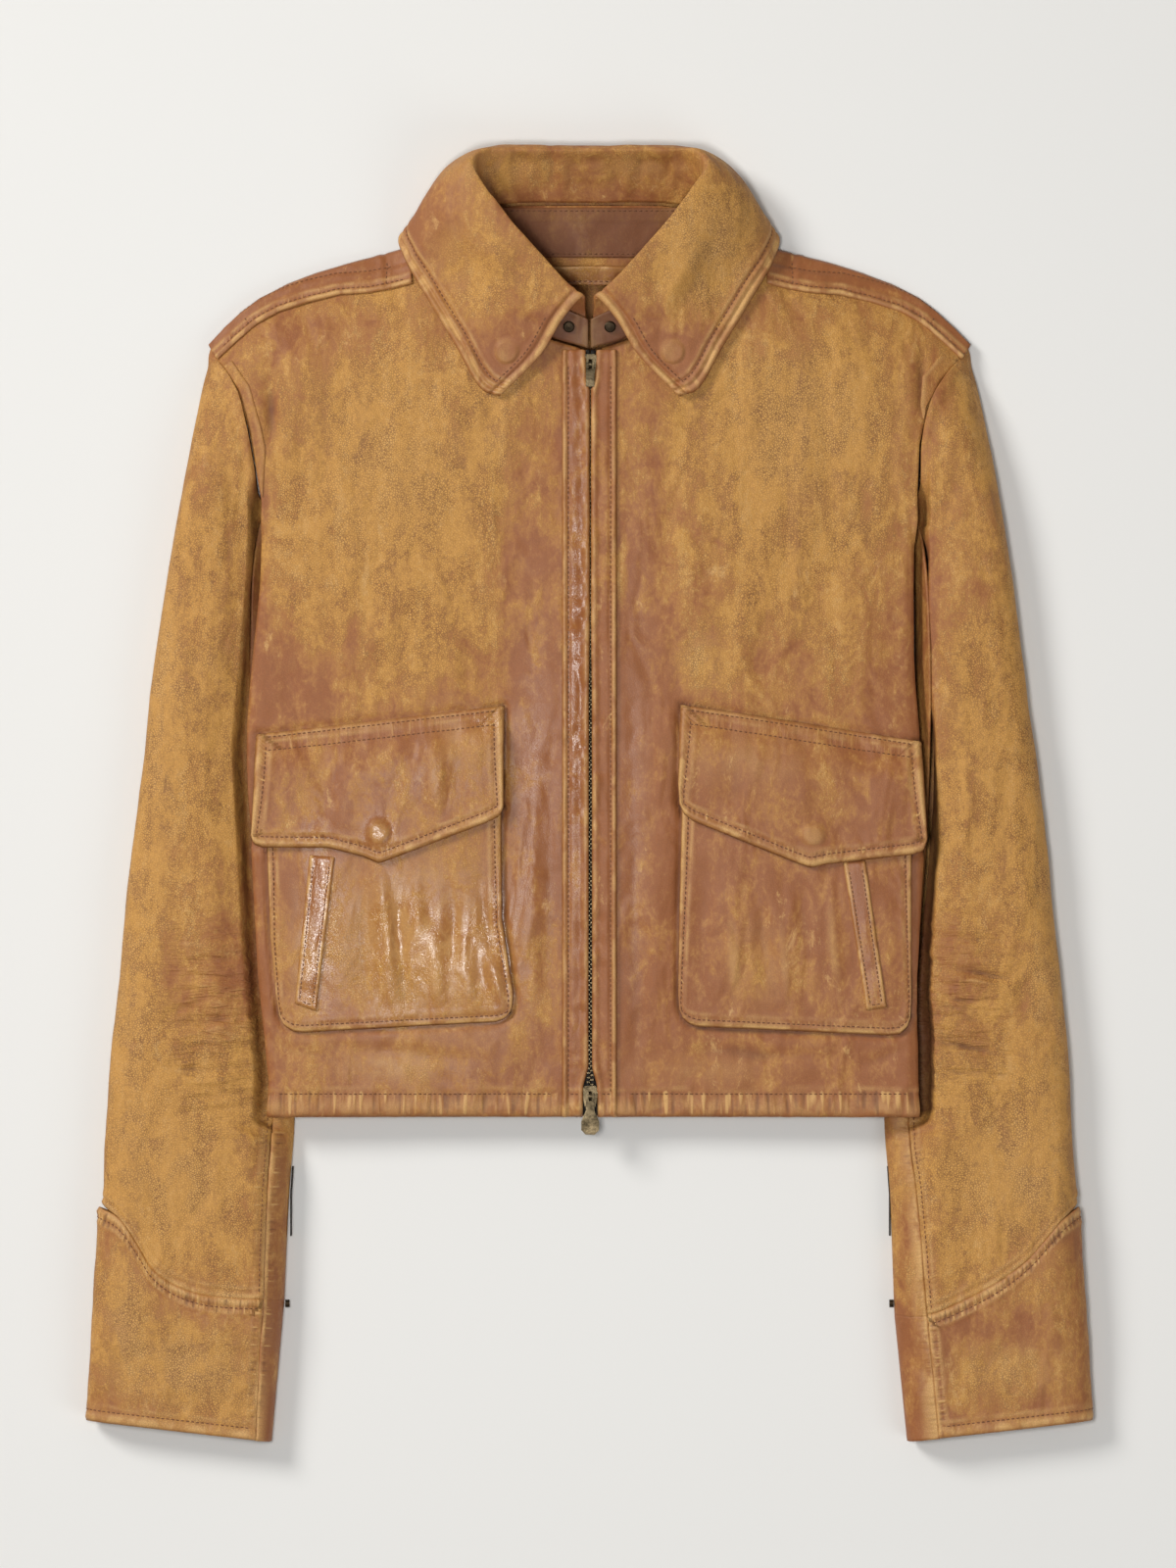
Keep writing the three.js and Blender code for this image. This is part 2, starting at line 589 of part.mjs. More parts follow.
function addVent(name, side) {
  addWall("vent_tape_" + name, side.place(ventRows()), TAPE_THICKNESS, "tape");
  const bead = new THREE.CylinderGeometry(VENT_STOP_RADIUS, VENT_STOP_RADIUS, VENT_STOP_LENGTH, 16);
  const stop = addMesh("vent_stop_" + name, bead, "brass");
  stop.rotation.z = Math.PI / 2;
  stop.position.set(side.sign * VENT.stopX, VENT.stopY, VENT.stopZ);
}

// Zip: a tape with a raised bead at its edge, under each front
const TAPE_WIDTH = 13;
const BEAD_WIDTH = 2.6;
function tapeRows(side) {
  const nearX = side.sign < 0 ? -ZIP_X + 0.2 : ZIP_X + 0.2;
  const stations = between(HEM_Y + 1, NECK_FRONT_Y - 1, 14);
  const section = [[0, -2.2], [0.3, -1.2], [BEAD_WIDTH - 0.3, -1.2], [BEAD_WIDTH, -2.6], [TAPE_WIDTH, -2.6]];
  return section.map(([x, z]) => stations.map((y) => {
    const flat = frontHeight(9, y);
    return V3(nearX + x, y, flat + z);
  }));
}

// Round parts
function dome(radius, height, edge) {
  const profile = [[0, 0], [radius, 0], [radius, edge], [radius * 0.8, height * 0.85], [0, height]];
  return new THREE.LatheGeometry(profile.map(([x, y]) => V2(x, y)), 20).rotateX(Math.PI / 2);
}

// The point of a panel's upper face over a plan point
function topOf(panel, x, y) {
  panel.updateMatrixWorld();
  const ray = new THREE.Raycaster(V3(x, y, 200), V3(0, 0, -1));
  return ray.intersectObject(panel)[0].point;
}

// A dome seated on a panel, tilted with it, just clear of its highest point
function seatDome(name, panel, x, y, radius, height, edge, finish) {
  const around = steps(9).slice(1).map((t) => topOf(
    panel,
    x + radius * Math.cos(2 * Math.PI * t),
    y + radius * Math.sin(2 * Math.PI * t),
  ));
  const middle = topOf(panel, x, y);
  const normal = around[1].clone().sub(around[5]).cross(around[3].clone().sub(around[7])).normalize();
  const proud = Math.max(...around.map((p) => p.clone().sub(middle).dot(normal)), 0);
  const mesh = addMesh(name, dome(radius, height, edge), finish);
  mesh.position.copy(middle.addScaledVector(normal, proud + 0.3));
  mesh.quaternion.setFromUnitVectors(V3(0, 0, 1), normal);
}

// Sliders and pulls
function solidOf(geometry) {
  const plain = geometry.clone();
  plain.deleteAttribute("normal");
  plain.deleteAttribute("uv");
  const merged = mergeVertices(plain, 1e-4);
  return new wasm.Manifold(new wasm.Mesh({
    numProp: 3,
    vertProperties: merged.attributes.position.array,
    triVerts: new Uint32Array(merged.index.array),
  }));
}

function geometryOf(solid) {
  const mesh = solid.getMesh();
  const geometry = new THREE.BufferGeometry();
  geometry.setAttribute("position", new THREE.BufferAttribute(mesh.vertProperties, 3));
  geometry.setIndex(new THREE.BufferAttribute(mesh.triVerts, 1));
  return geometry;
}

const shapeOf = (points) => new THREE.Shape(points.map(([x, y]) => V2(x, y)));
const slab = (shape, depth) => new THREE.ExtrudeGeometry(
  shape, { depth, bevelEnabled: false, curveSegments: 8 },
);

const SLIDER_PLATE = 2.1;
const AXIS_OVER_PLATE = 1.4;
const ARCH_INNER = 1.6;
const ARCH_OUTER = 2.7;
const ARCH_WIDTH = 1.8;
const PULL_THICKNESS = 1;
const PULL_BAR = 0.75;

// A slider: its plate, with an arch that the pull hangs on. Its own Y runs along the zip.
function sliderGeometry(length) {
  const half = length / 2;
  const plate = slab(shapeOf([[-3, -half], [3, -half], [4.2, 0], [4.2, half - 1.5], [2.6, half],
    [-2.6, half], [-4.2, half - 1.5], [-4.2, 0]]), SLIDER_PLATE);
  const profile = new THREE.Shape();
  const foot = -AXIS_OVER_PLATE - 0.6;
  profile.moveTo(ARCH_OUTER, foot);
  profile.lineTo(ARCH_OUTER, 0);
  profile.absarc(0, 0, ARCH_OUTER, 0, Math.PI, false);
  profile.lineTo(-ARCH_OUTER, foot);
  profile.lineTo(-ARCH_INNER, foot);
  profile.lineTo(-ARCH_INNER, 0);
  profile.absarc(0, 0, ARCH_INNER, Math.PI, 0, true);
  profile.lineTo(ARCH_INNER, foot);
  const arch = slab(profile, ARCH_WIDTH)
    .translate(0, 0, -ARCH_WIDTH / 2)
    .rotateX(Math.PI / 2)
    .rotateZ(Math.PI / 2)
    .translate(0, 0, SLIDER_PLATE + AXIS_OVER_PLATE);
  return geometryOf(solidOf(plate).add(solidOf(arch)));
}

// A pull: a flat tab with an eye, its hinge bar on its own X axis, lying towards -Y.
function pullGeometry(outlinePoints) {
  const shape = shapeOf(outlinePoints);
  const eye = [[-1.3, -3.4], [1.3, -3.4], [1.3, -PULL_BAR - 0.1], [-1.3, -PULL_BAR - 0.1]];
  shape.holes.push(new THREE.Path(eye.map(([x, y]) => V2(x, y))));
  return slab(shape, PULL_THICKNESS).translate(0, 0, -PULL_THICKNESS / 2);
}

const SLIDER_LENGTH = 11.5;
const TAPE_MIDDLE_X = 9; // where the zip's height is read, beside its teeth
const SLIDER_SINK = 0.8;

function addSlider(which, y, pull) {
  const base = frontHeight(TAPE_MIDDLE_X, y) - SLIDER_SINK;
  const slider = addMesh("slider_" + which, sliderGeometry(SLIDER_LENGTH), "brass");
  slider.position.set(ZIP_X, y, base);
  const tab = addMesh("pull_" + which, pullGeometry(pull), "brass");
  tab.position.set(ZIP_X, y, base + SLIDER_PLATE + AXIS_OVER_PLATE);
}

// Build
addWall("back", backRows(), LEATHER, "tan");
for (const [name, side] of Object.entries(SIDES)) {
  const pocket = POCKETS[name];
  const place = side.place;
  const sleeve = sleevePatch(side);
  const cuff = cuffPatch(side);
  const sleeveLength = [0, 0.06, 0.12, 0.18, 0.235, 0.31, 0.39, 0.47, 0.55, 0.63, 0.71, 0.79, 0.86, 0.93, 1];
  const cuffLength = between(0, 0.994, 4);
  addWall("front_" + name, place(frontRows(side)), LEATHER, "tan");
  addWall("side_" + name, place(sideRows(side)).reverse(), LEATHER, "brown");
  const sleeveTop = tubeRows(side, sleeve, topSection, sleeveLength);
  addWall("sleeve_top_" + name, place(sleeveTop).reverse(), LEATHER, "tan");
  const sleeveUnder = tubeRows(side, sleeve, underSection, sleeveLength);
  addWall("sleeve_under_" + name, place(sleeveUnder).reverse(), LEATHER, "tan");
  const cuffTop = tubeRows(side, cuff, topSection, cuffLength);
  addWall("cuff_top_" + name, place(cuffTop).reverse(), LEATHER, "brown");
  const cuffUnder = tubeRows(side, cuff, underSection, cuffLength);
  addWall("cuff_under_" + name, place(cuffUnder).reverse(), LEATHER, "brown");
  addWall("placket_" + name, place(placketRows(side)), LEATHER, "brown");
  addWall("zip_tape_" + name, place(tapeRows(side)), TAPE_THICKNESS, "tape");
  const pocketRows = laidRows(pocketPatch(pocket), steps(7), steps(7), pocketHeight);
  addWall("pocket_" + name, place(pocketRows), LEATHER, "brown");
  const flapRows = laidRows(flapPatch(pocket), steps(9), steps(6), flapHeight);
  const flap = addWall("flap_" + name, place(flapRows), FLAP_LEATHER, "brown");
  addWall("welt_" + name, place(weltRows(pocket)), WELT_THICKNESS, "edge");
  addWall("epaulette_" + name, place(epauletteRows(side)), LEATHER, "brown");
  addWall("armhole_band_" + name, place(armholeBandRows(side)), BAND_LEATHER, "edge");
  const [snapX, snapY] = pocket.snap;
  seatDome("flap_snap_" + name, flap, side.sign * snapX, snapY, 7, 1.6, 0.5, "brown");
}
const collar = addWall("collar", collarRows().reverse(), COLLAR_LEATHER, "tan");
for (const [name, side] of Object.entries(SIDES)) {
  const stand = addWall("collar_stand_" + name, side.place(standRows()), STAND_LEATHER, "brown");
  seatDome("stand_stud_" + name, stand, side.sign * 11.5, 261.5, 3.2, 1.6, 0.8, "brass");
  addVent(name, side);
  seatDome("collar_snap_" + name, collar, side.sign * 46.5, 247.5, 6.3, 1.4, 0.5, "edge");
}
addWall("neck_facing", facingRows(), FACING_LEATHER, "inside");
addWall("hanger_loop", hangerRows(), FACING_LEATHER, "edge");
addSlider("top", 240.5, [[-2.4, 1], [2.4, 1], [2.4, -12.6], [-2.4, -12.6]]);
addSlider("bottom", -170, [[-2.2, 1], [2.2, 1], [2.4, -8], [5, -14], [5, -19], [2.5, -21.6], [-2.5, -21.6],
  [-5, -19], [-5, -14], [-2.4, -8]]);

export default jacket;
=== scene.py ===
"""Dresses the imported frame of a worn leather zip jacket, laid flat on its back."""

import math

import bpy
import numpy as np
from bpy.props import FloatProperty, FloatVectorProperty, PointerProperty
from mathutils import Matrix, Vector


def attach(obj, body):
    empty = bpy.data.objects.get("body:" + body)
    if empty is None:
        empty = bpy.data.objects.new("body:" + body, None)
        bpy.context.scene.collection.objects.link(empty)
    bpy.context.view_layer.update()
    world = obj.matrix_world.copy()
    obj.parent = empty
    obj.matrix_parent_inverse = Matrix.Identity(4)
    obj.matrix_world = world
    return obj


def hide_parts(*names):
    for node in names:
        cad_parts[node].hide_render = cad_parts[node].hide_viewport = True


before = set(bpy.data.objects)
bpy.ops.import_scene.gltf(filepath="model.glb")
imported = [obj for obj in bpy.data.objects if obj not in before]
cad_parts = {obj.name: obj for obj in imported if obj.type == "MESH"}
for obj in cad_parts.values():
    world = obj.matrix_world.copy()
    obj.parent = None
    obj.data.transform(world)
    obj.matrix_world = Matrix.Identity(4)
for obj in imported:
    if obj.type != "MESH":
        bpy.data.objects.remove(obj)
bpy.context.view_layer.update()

bl_info = {
    "name": "Leather Jacket",
    "version": (1, 0, 0),
    "blender": (4, 5, 0),
    "location": "View3D > Sidebar > Jacket",
    "description": "Builds a worn leather zip jacket on its CAD frame",
    "category": "Object",
}

# Driving sizes in millimetres. Left and right are the viewer's.
MM = 0.001
STITCH_PITCH = 2.8
LEATHER = 1.4
COLLAR_LEATHER = 2.4
STAND_LEATHER = 1.2
FLAP_LEATHER = 1.6
TAPE_THICKNESS = 0.9
BAND_LEATHER = 1.0
WELT_THICKNESS = 1.1
FACING_LEATHER = 1.2
SEAM_GAP = 0.4
HEM_Y = -181.8
UNDERARM_Y = 150
NECK_FRONT_Y = 249.5
BODY_CROWN = 27
BODY_EDGE_HEIGHT = 22
SLEEVE_CROWN = 25
SLEEVE_TUCK_HEIGHT = 9.5
STEEP_RISE = 7
SLOW_RISE = 26
STEEP_SHARE = 0.72
BACK_LIFT = 10
COLLAR_LIFT = 4.3
BACK_HALF_WIDTH = 178
SIDE_SEAM_INSET = 6
GUSSET_FOLD_X = 118
ZIP_X = 0.4
COLLAR_BACK_Y = 364.4
STAGE_REACH = 6.0


# Curves and surfaces


def ease(t):
    t = np.clip(t, 0, 1)
    return t * t * (3 - 2 * t)


def lerp(a, b, t):
    return a + (b - a) * t


def along(pairs, where):
    """A value read from pairs (where, value) that rise in where."""
    pairs = np.asarray(pairs, float)
    return np.interp(where, pairs[:, 0], pairs[:, 1])


def bump(distance, middle, half_width):
    """A soft ridge of height 1 whose top is at middle."""
    return np.exp(-(((distance - middle) / half_width) ** 2))


def smooth_line(points, where):
    """Points of a centripetal curve through the given ones, where runs from 0 to 1."""
    p = np.asarray(points, float)
    p = np.vstack([2 * p[0] - p[1], p, 2 * p[-1] - p[-2]])
    s = np.clip(where, 0, 1) * (len(p) - 3)
    k = np.minimum(s.astype(int), len(p) - 4)
    w = (s - k)[:, None]
    a, b, c, d = p[k], p[k + 1], p[k + 2], p[k + 3]

    def knot(start, end):
        return np.maximum(np.sqrt(np.linalg.norm(end - start, axis=1)), 1e-4)[:, None]

    before, here, after = knot(a, b), knot(b, c), knot(c, d)
    out = ((b - a) / before - (c - a) / (before + here) + (c - b) / here) * here
    into = ((c - b) / here - (d - b) / (here + after) + (d - c) / after) * here
    bend = (2 * b - 2 * c + out + into) * w**3
    return bend + (-3 * b + 3 * c - 2 * out - into) * w**2 + out * w + b


def outline(points):
    """Straight runs through points, read by the share of their length."""
    p = np.asarray(points, float)
    run = np.concatenate([[0], np.cumsum(np.linalg.norm(np.diff(p, axis=0), axis=1))])
    run /= run[-1]

    def read(t):
        t = np.clip(t, 0, 1)
        return np.stack([np.interp(t, run, p[:, k]) for k in range(p.shape[1])], -1)

    return read


def curve(points):
    """A smooth curve through points, read by the share of its length."""
    return outline(smooth_line(points, np.linspace(0, 1, 60 * len(points))))


def patch(bottom, top, inner, outer):
    """The plan patch between four curves that meet at its corners."""

    def read(u, v):
        u, v = np.broadcast_arrays(u, v)
        wide, high = u[..., None], v[..., None]
        up = bottom(u) * (1 - high) + top(u) * high
        across = inner(v) * (1 - wide) + outer(v) * wide
        ends = np.zeros(1), np.ones(1)
        corners = bottom(ends[0]) * (1 - wide) * (1 - high) + bottom(ends[1]) * wide * (1 - high)
        corners = corners + top(ends[0]) * (1 - wide) * high + top(ends[1]) * wide * high
        return up + across - corners

    return read


def flat_grid(plan, across, up):
    u, v = np.meshgrid(np.linspace(0, 1, across), np.linspace(0, 1, up), indexing="ij")
    return plan(u, v), u, v


def with_height(plan_points, height):
    return np.dstack([plan_points, height])


def normals_of(rows):
    normal = np.cross(np.gradient(rows, axis=0), np.gradient(rows, axis=1))
    return normal / np.maximum(np.linalg.norm(normal, axis=-1, keepdims=True), 1e-9)


def lattice_noise(x, y, size, seed):
    """Smooth hills and hollows from -1 to 1, about size apart. The same seed gives the same ones."""
    table = np.random.default_rng(seed).uniform(-1, 1, (256, 256))
    x, y = np.asarray(x) / size + 900, np.asarray(y) / size + 900
    i, j = np.floor(x).astype(int), np.floor(y).astype(int)
    u, v = ease(x - i), ease(y - j)

    def at(di, dj):
        return table[(i + di) % 256, (j + dj) % 256]

    low = lerp(at(0, 0), at(1, 0), u)
    return lerp(low, lerp(at(0, 1), at(1, 1), u), v)


def to_segment(x, y, x0, y0, x1, y1):
    """Distance to a straight run, and the share of the run that is nearest."""
    dx, dy = x1 - x0, y1 - y0
    t = np.clip(((x - x0) * dx + (y - y0) * dy) / (dx * dx + dy * dy), 0, 1)
    return np.hypot(x - x0 - t * dx, y - y0 - t * dy), t


def creases(x, y, lines):
    """Soft troughs, or ridges where the height is positive.

    Each line is x0, y0, x1, y1, half width and height.
    """
    total = np.zeros(np.shape(x))
    for x0, y0, x1, y1, half_width, height in lines:
        wander = 1.6 * lattice_noise(x, y, 14, int(abs(x0) + abs(y0)))
        distance, t = to_segment(x, y + wander, x0, y0, x1, y1)
        total += height * bump(distance, 0, half_width) * np.sin(np.pi * lerp(0.12, 0.88, t))
    return total


def off_line(rows, points):
    """Plan distance from each grid point to a line of straight runs."""
    x, y = rows[..., 0], rows[..., 1]
    return np.min([to_segment(x, y, *a, *b)[0] for a, b in zip(points, points[1:])], axis=0)


def side_distances(rows):
    """Distances over the surface from each grid point to the grid's four sides."""
    step_u = np.linalg.norm(np.diff(rows, axis=0), axis=-1)
    step_v = np.linalg.norm(np.diff(rows, axis=1), axis=-1)
    u = np.vstack([np.zeros((1, rows.shape[1])), np.cumsum(step_u, axis=0)])
    v = np.hstack([np.zeros((rows.shape[0], 1)), np.cumsum(step_v, axis=1)])
    return {"u0": u, "u1": u[-1:] - u, "v0": v, "v1": v[:, -1:] - v}


def grow(rows, name, amount):
    """Adds one line of points past a side, so that a piece reaches its neighbour's seam."""
    if name[0] == "v":
        return np.swapaxes(grow(np.swapaxes(rows, 0, 1), "u" + name[1], amount), 0, 1)
    if name[1] == "1":
        return grow(rows[::-1], "u0", amount)[::-1]
    step = rows[0] - rows[2]
    step /= np.maximum(np.linalg.norm(step, axis=-1, keepdims=True), 1e-6)
    return np.concatenate([rows[:1] + amount * step, rows])


# The shape of the garment, as in the part's source but for the sleeves' rise beside the body

SHOULDER_FOLD = np.array(
    [[76, 316.5], [106, 306.6], [130, 300.3], [154, 293], [170, 287], [186, 278.8], [196, 271.5],
     [206, 262.5], [214.6, 253]]
)
SHOULDER_SEAM = SHOULDER_FOLD - [1.2, 2.6]
SHOULDER_TIP = [213.4, 250.4]
SLEEVE_INNER = [[169, -226], [166, -182], [168.5, -140], [173.5, -90], [180, -30], [183, 30],
                [183.5, 80], [182.5, 115], [179.8, 138], [176, UNDERARM_Y + 1]]
SLEEVE_OUTER = [[274.3, -231], [271.7, -182], [268.1, -138], [263.5, -94], [259, -50], [254.1, -6],
                [248.6, 38], [243.1, 82], [236.7, 126], [229.3, 170], [221, 214], SHOULDER_TIP]
CUFF_TOP_OUTER = [276, -233]
CUFF_END_INNER = [178.7, -364.4]
CUFF_END_OUTER = [283.5, -352.5]
SHOULDER_ROUNDING = 70
SHOULDER_EDGE_HEIGHT = 3.6
CROWN = [[HEM_Y, 19.5], [-140, 22.5], [-60, 25.5], [60, BODY_CROWN], [160, BODY_CROWN], [250, 25.5]]


class Side:
    """One half of the garment. Its shapes are drawn for the right and mirrored for the left."""

    def __init__(self, name, sign, **shapes):
        self.name = name
        self.sign = sign
        self.__dict__.update(shapes)


SIDES = [
    Side(
        "left", -1,
        fold=[[HEM_Y, 181.5], [-161, 180.6], [-136, 182.9], [-99, 186.7], [-25, 190.6], [27, 193.3],
              [50, 191.7], [85, 188.4], [120, 185], [150, 184.2]],
        armhole=[[184.5, 164], [187.6, 182], [191.6, 204], [198.2, 227], [209.8, 243.9]],
        cuff_seam=[[202.4, -282.9], [219.2, -280.7], [235.1, -274.5], [246.1, -265.4],
                   [252.9, -254.3], [264.3, -238.4]],
        cuff_seam_inner_y=-283.8,
        sleeve_seam=[[-364, 0.092], [-204, 0.105], [150, 0.12]],
        placket_edge=[[HEM_Y, 3.8], [-164, 3.4], [-154, 0.6], [60, 0.3], [95, -0.2], [226, -0.2],
                      [233, 1.2], [NECK_FRONT_Y, 2.2]],
        band_width=6, band_from=0.03, shadow_dip=0.0,
        pocket_inner=[[49.5, 10], [48.3, -71.2], [42.2, -111.9], [42.8, -119.5], [44.6, -123.5]],
        pocket_bottom=[[44.6, -123.5], [47.8, -127], [53, -128.8], [160, -134.6], [166.5, -133.9],
                       [171.6, -130.4], [174.3, -124.5]],
        pocket_outer=[[183, 10], [181.8, -30], [179.8, -80], [176.6, -112], [174.3, -124.5]],
        flap_top=[[47.6, 49.2], [100, 43], [187.3, 32.9]],
        flap_bottom=[[47.9, -8], [50.5, -13], [58, -16.8], [117.8, -39.6], [127, -35.8], [146, -31],
                     [184, -30.6], [188.6, -28.6], [190, -23.5]],
        flap_inner=[[47.9, -8], [47.6, 49.2]],
        flap_outer=[[190, -23.5], [187.3, 32.9]],
        welt=[[157, -34.9], [142.7, -36], [153.2, -122.4], [165.3, -118]],
        snap=[118, -21.7],
    ),
    Side(
        "right", 1,
        fold=[[HEM_Y, 185.6], [-160, 185.1], [-134, 185.1], [-116, 183.4], [-94, 184.5],
              [-28, 188.5], [27, 186.5], [50, 184.5], [76, 182.6], [116, 182.4], [150, 183]],
        armhole=[[184.5, 168], [185.8, 196], [190.4, 217], [198.5, 232], [210.4, 245.6]],
        cuff_seam=[[187.3, -292.9], [209.3, -284.6], [231.8, -272.3], [248.6, -258.8],
                   [265.4, -239.5]],
        cuff_seam_inner_y=-292.9,
        sleeve_seam=[[-364, 0.175], [-293, 0.15], [-204, 0.12], [150, 0.12]],
        placket_edge=[[HEM_Y, 4.6], [-164, 4.2], [-154, 1.5], [60, 1.3], [95, 0.8], [226, 0.8],
                      [233, 2.8], [NECK_FRONT_Y, 3.9]],
        band_width=10, band_from=0.5, shadow_dip=1.0,
        pocket_inner=[[51.5, 10], [49.8, -71.2], [49.4, -113], [50.2, -121]],
        pocket_bottom=[[50.2, -121], [52.4, -126.6], [56, -129.8], [61, -131.3], [168, -136.2],
                       [174, -135.6], [178.3, -132], [180.4, -126]],
        pocket_outer=[[181.5, 10], [181.2, -35.5], [181.2, -111.9], [180.4, -126]],
        flap_top=[[51.1, 49.6], [100, 42.5], [186.5, 28.9]],
        flap_bottom=[[50.2, -6], [52.6, -11.6], [58, -15.8], [114, -38.6], [123.9, -42.2], [134, -40],
                     [181, -34.6], [187.2, -32.6], [189.8, -26]],
        flap_inner=[[50.2, -6], [49.2, 6], [50.3, 33], [51.1, 49.6]],
        flap_outer=[[189.8, -26], [186.5, 28.9]],
        welt=[[154.8, -37.7], [142.2, -38.8], [155.4, -121.8], [166.9, -120.2]],
        snap=[125, -23.2],
    ),
]


def sleeve_inner_x(y):
    return along([[yy, x] for x, yy in SLEEVE_INNER], y)


def shouldered(height, x, y):
    """Rounds a height down towards the shoulder fold."""
    fold = along(SHOULDER_SEAM, x)
    fold = np.where(x < SHOULDER_SEAM[0, 0], SHOULDER_SEAM[0, 1] + (SHOULDER_SEAM[0, 0] - x) * 0.9, fold)
    fold = np.where(x > SHOULDER_SEAM[-1, 0], SHOULDER_SEAM[-1, 1] - (x - SHOULDER_SEAM[-1, 0]) * 2.5, fold)
    below = np.clip((fold - y) * 0.88 / SHOULDER_ROUNDING, 0, 1)
    edge = SHOULDER_EDGE_HEIGHT + COLLAR_LIFT * ease((112 - x) / 14)
    return lerp(edge, height, 1 - (1 - below) ** 2.6)


def front_height(x, y):
    x = np.abs(x)
    across = ease(x / 186 - 0.35) / ease(0.65)
    return shouldered(lerp(along(CROWN, y), BODY_EDGE_HEIGHT, across), x, y)


def back_height(x, y):
    x = np.abs(x)
    over_sleeve = ease((x - (sleeve_inner_x(y) - 18)) / 15) * ease((5 - y) / 45)
    over_collar = ease((y - 288) / 14) * ease((95 - x) / 14)
    return BACK_LIFT * over_sleeve + COLLAR_LIFT * over_collar


def back_rows():
    def half(side):
        points = [[BACK_HALF_WIDTH, HEM_Y], [BACK_HALF_WIDTH, -60], [BACK_HALF_WIDTH, 60],
                  [BACK_HALF_WIDTH, 132], [174, UNDERARM_Y], [177.6, 159]]
        armhole = [[x - SEAM_GAP - 0.8, y] for x, y in side.armhole]
        return patch(
            outline([[0, HEM_Y], [BACK_HALF_WIDTH, HEM_Y]]),
            outline([[0, 330.6], [42, 330.4], [62, 326.6], [72, 319], *SHOULDER_SEAM]),
            outline([[0, HEM_Y], [0, 330.6]]),
            outline([*points, *armhole, SHOULDER_SEAM[-1]]),
        )

    halves = []
    for side in SIDES:
        plan, _, _ = flat_grid(half(side), 60, 130)
        halves.append(plan * [side.sign, 1])
    plan = np.vstack([halves[0][::-1], halves[1][1:]])
    return with_height(plan, back_height(plan[..., 0], plan[..., 1]))[::-1]


FRONT_REACH = 0.3


def front_plan(side):
    at_side = [[along(side.fold, y) - FRONT_REACH, y] for y in np.linspace(HEM_Y, 138, 17)]
    turns = (HEM_Y, -164, -154, 60, 226, 233, NECK_FRONT_Y)
    middle = [[along(side.placket_edge, y) + 3, y] for y in turns]
    armhole = [[x - SEAM_GAP - 0.2, y] for x, y in side.armhole]
    return patch(
        outline([middle[0], at_side[0]]),
        outline([middle[-1], [22, 254.3], [42, 267.5], [60, 286], [69, 302], *SHOULDER_SEAM]),
        outline(middle),
        outline([*at_side, [side.armhole[0][0] - FRONT_REACH, 154], *armhole, SHOULDER_SEAM[-1]]),
    )


def front_bent(side, x, y):
    """The front's height, bent down where it meets the side panel at the fold."""
    bend = np.clip((x - along(side.fold, y) + 6.5) / 5.5, 0, 1) * ease((158 - y) / 16)
    return front_height(x, y) - 1.9 * bend**2


def side_rows(side):
    rows = []
    for y in np.linspace(HEM_Y, UNDERARM_Y - 10, 110):
        fold = along(side.fold, y)
        top = front_height(fold - SIDE_SEAM_INSET, y)
        lapped = top - LEATHER - SEAM_GAP
        section = [[fold - SIDE_SEAM_INSET - 5, lapped - 0.2], [fold - SIDE_SEAM_INSET, lapped - 0.4],
                   [fold - 3.4, top - 3.2], [fold - 1.6, top - 3.8], [fold - 0.5, top - 5.0],
                   [fold - 0.9, top - 5.8], [fold - 3.2, top - 6.6], [fold - 12, top - 6.9],
                   [158, 13.4], [134, 13.2], [GUSSET_FOLD_X + 3, 13], [GUSSET_FOLD_X, 11],
                   [GUSSET_FOLD_X - 1, 8.5], [GUSSET_FOLD_X + 1, 6], [GUSSET_FOLD_X + 6, 4.4]]
        for x in (140, 152, 162, 170, BACK_HALF_WIDTH):
            under = max(back_height(x, y + shift) for shift in (-18, 0, 18))
            section.append([x, under + 2 * LEATHER + SEAM_GAP + 0.9])
        line = outline(section)(np.linspace(0, 1, 90))
        rows.append(np.column_stack([line[:, 0], np.full(90, y), line[:, 1]]))
    return np.array(rows)


def sleeve_height(side, x, y):
    """The sleeve's top. It rises steeply beside the body, then slowly to its crown."""
    fold = np.where(y < UNDERARM_Y, along(side.fold, y), 184)
    past_hem = ease((HEM_Y - 10 - y) / 25)
    joined = lerp(BODY_EDGE_HEIGHT - 0.4, SLEEVE_TUCK_HEIGHT, ease((180 - y) / 22))
    low = lerp(joined, 15, past_hem)
    free = ease((HEM_Y - 1 - y) / 12)
    beside = x - fold - 1 + 16 * free
    steep, slow = ease(beside / STEEP_RISE), ease(beside / SLOW_RISE)
    rise = lerp(STEEP_SHARE * steep + (1 - STEEP_SHARE) * slow, slow, free)
    crown = lerp(SLEEVE_CROWN, 20, ease((-280 - y) / 80))
    return shouldered(lerp(low, crown, rise), x, y)


def cuff_seam_points(side, shift):
    inner = [171.6, side.cuff_seam_inner_y + shift]
    return [inner, *[[x, y + shift] for x, y in side.cuff_seam], [274.3, -231 + shift]]


def sleeve_plan(side):
    armhole = [[x + SEAM_GAP + 0.5, y + 1] for x, y in side.armhole]
    return patch(
        curve(cuff_seam_points(side, 0)),
        curve([SLEEVE_INNER[-1], [180.6, 160], *armhole, SHOULDER_TIP]),
        curve([[171.6, side.cuff_seam_inner_y], *SLEEVE_INNER]),
        curve(SLEEVE_OUTER),
    )


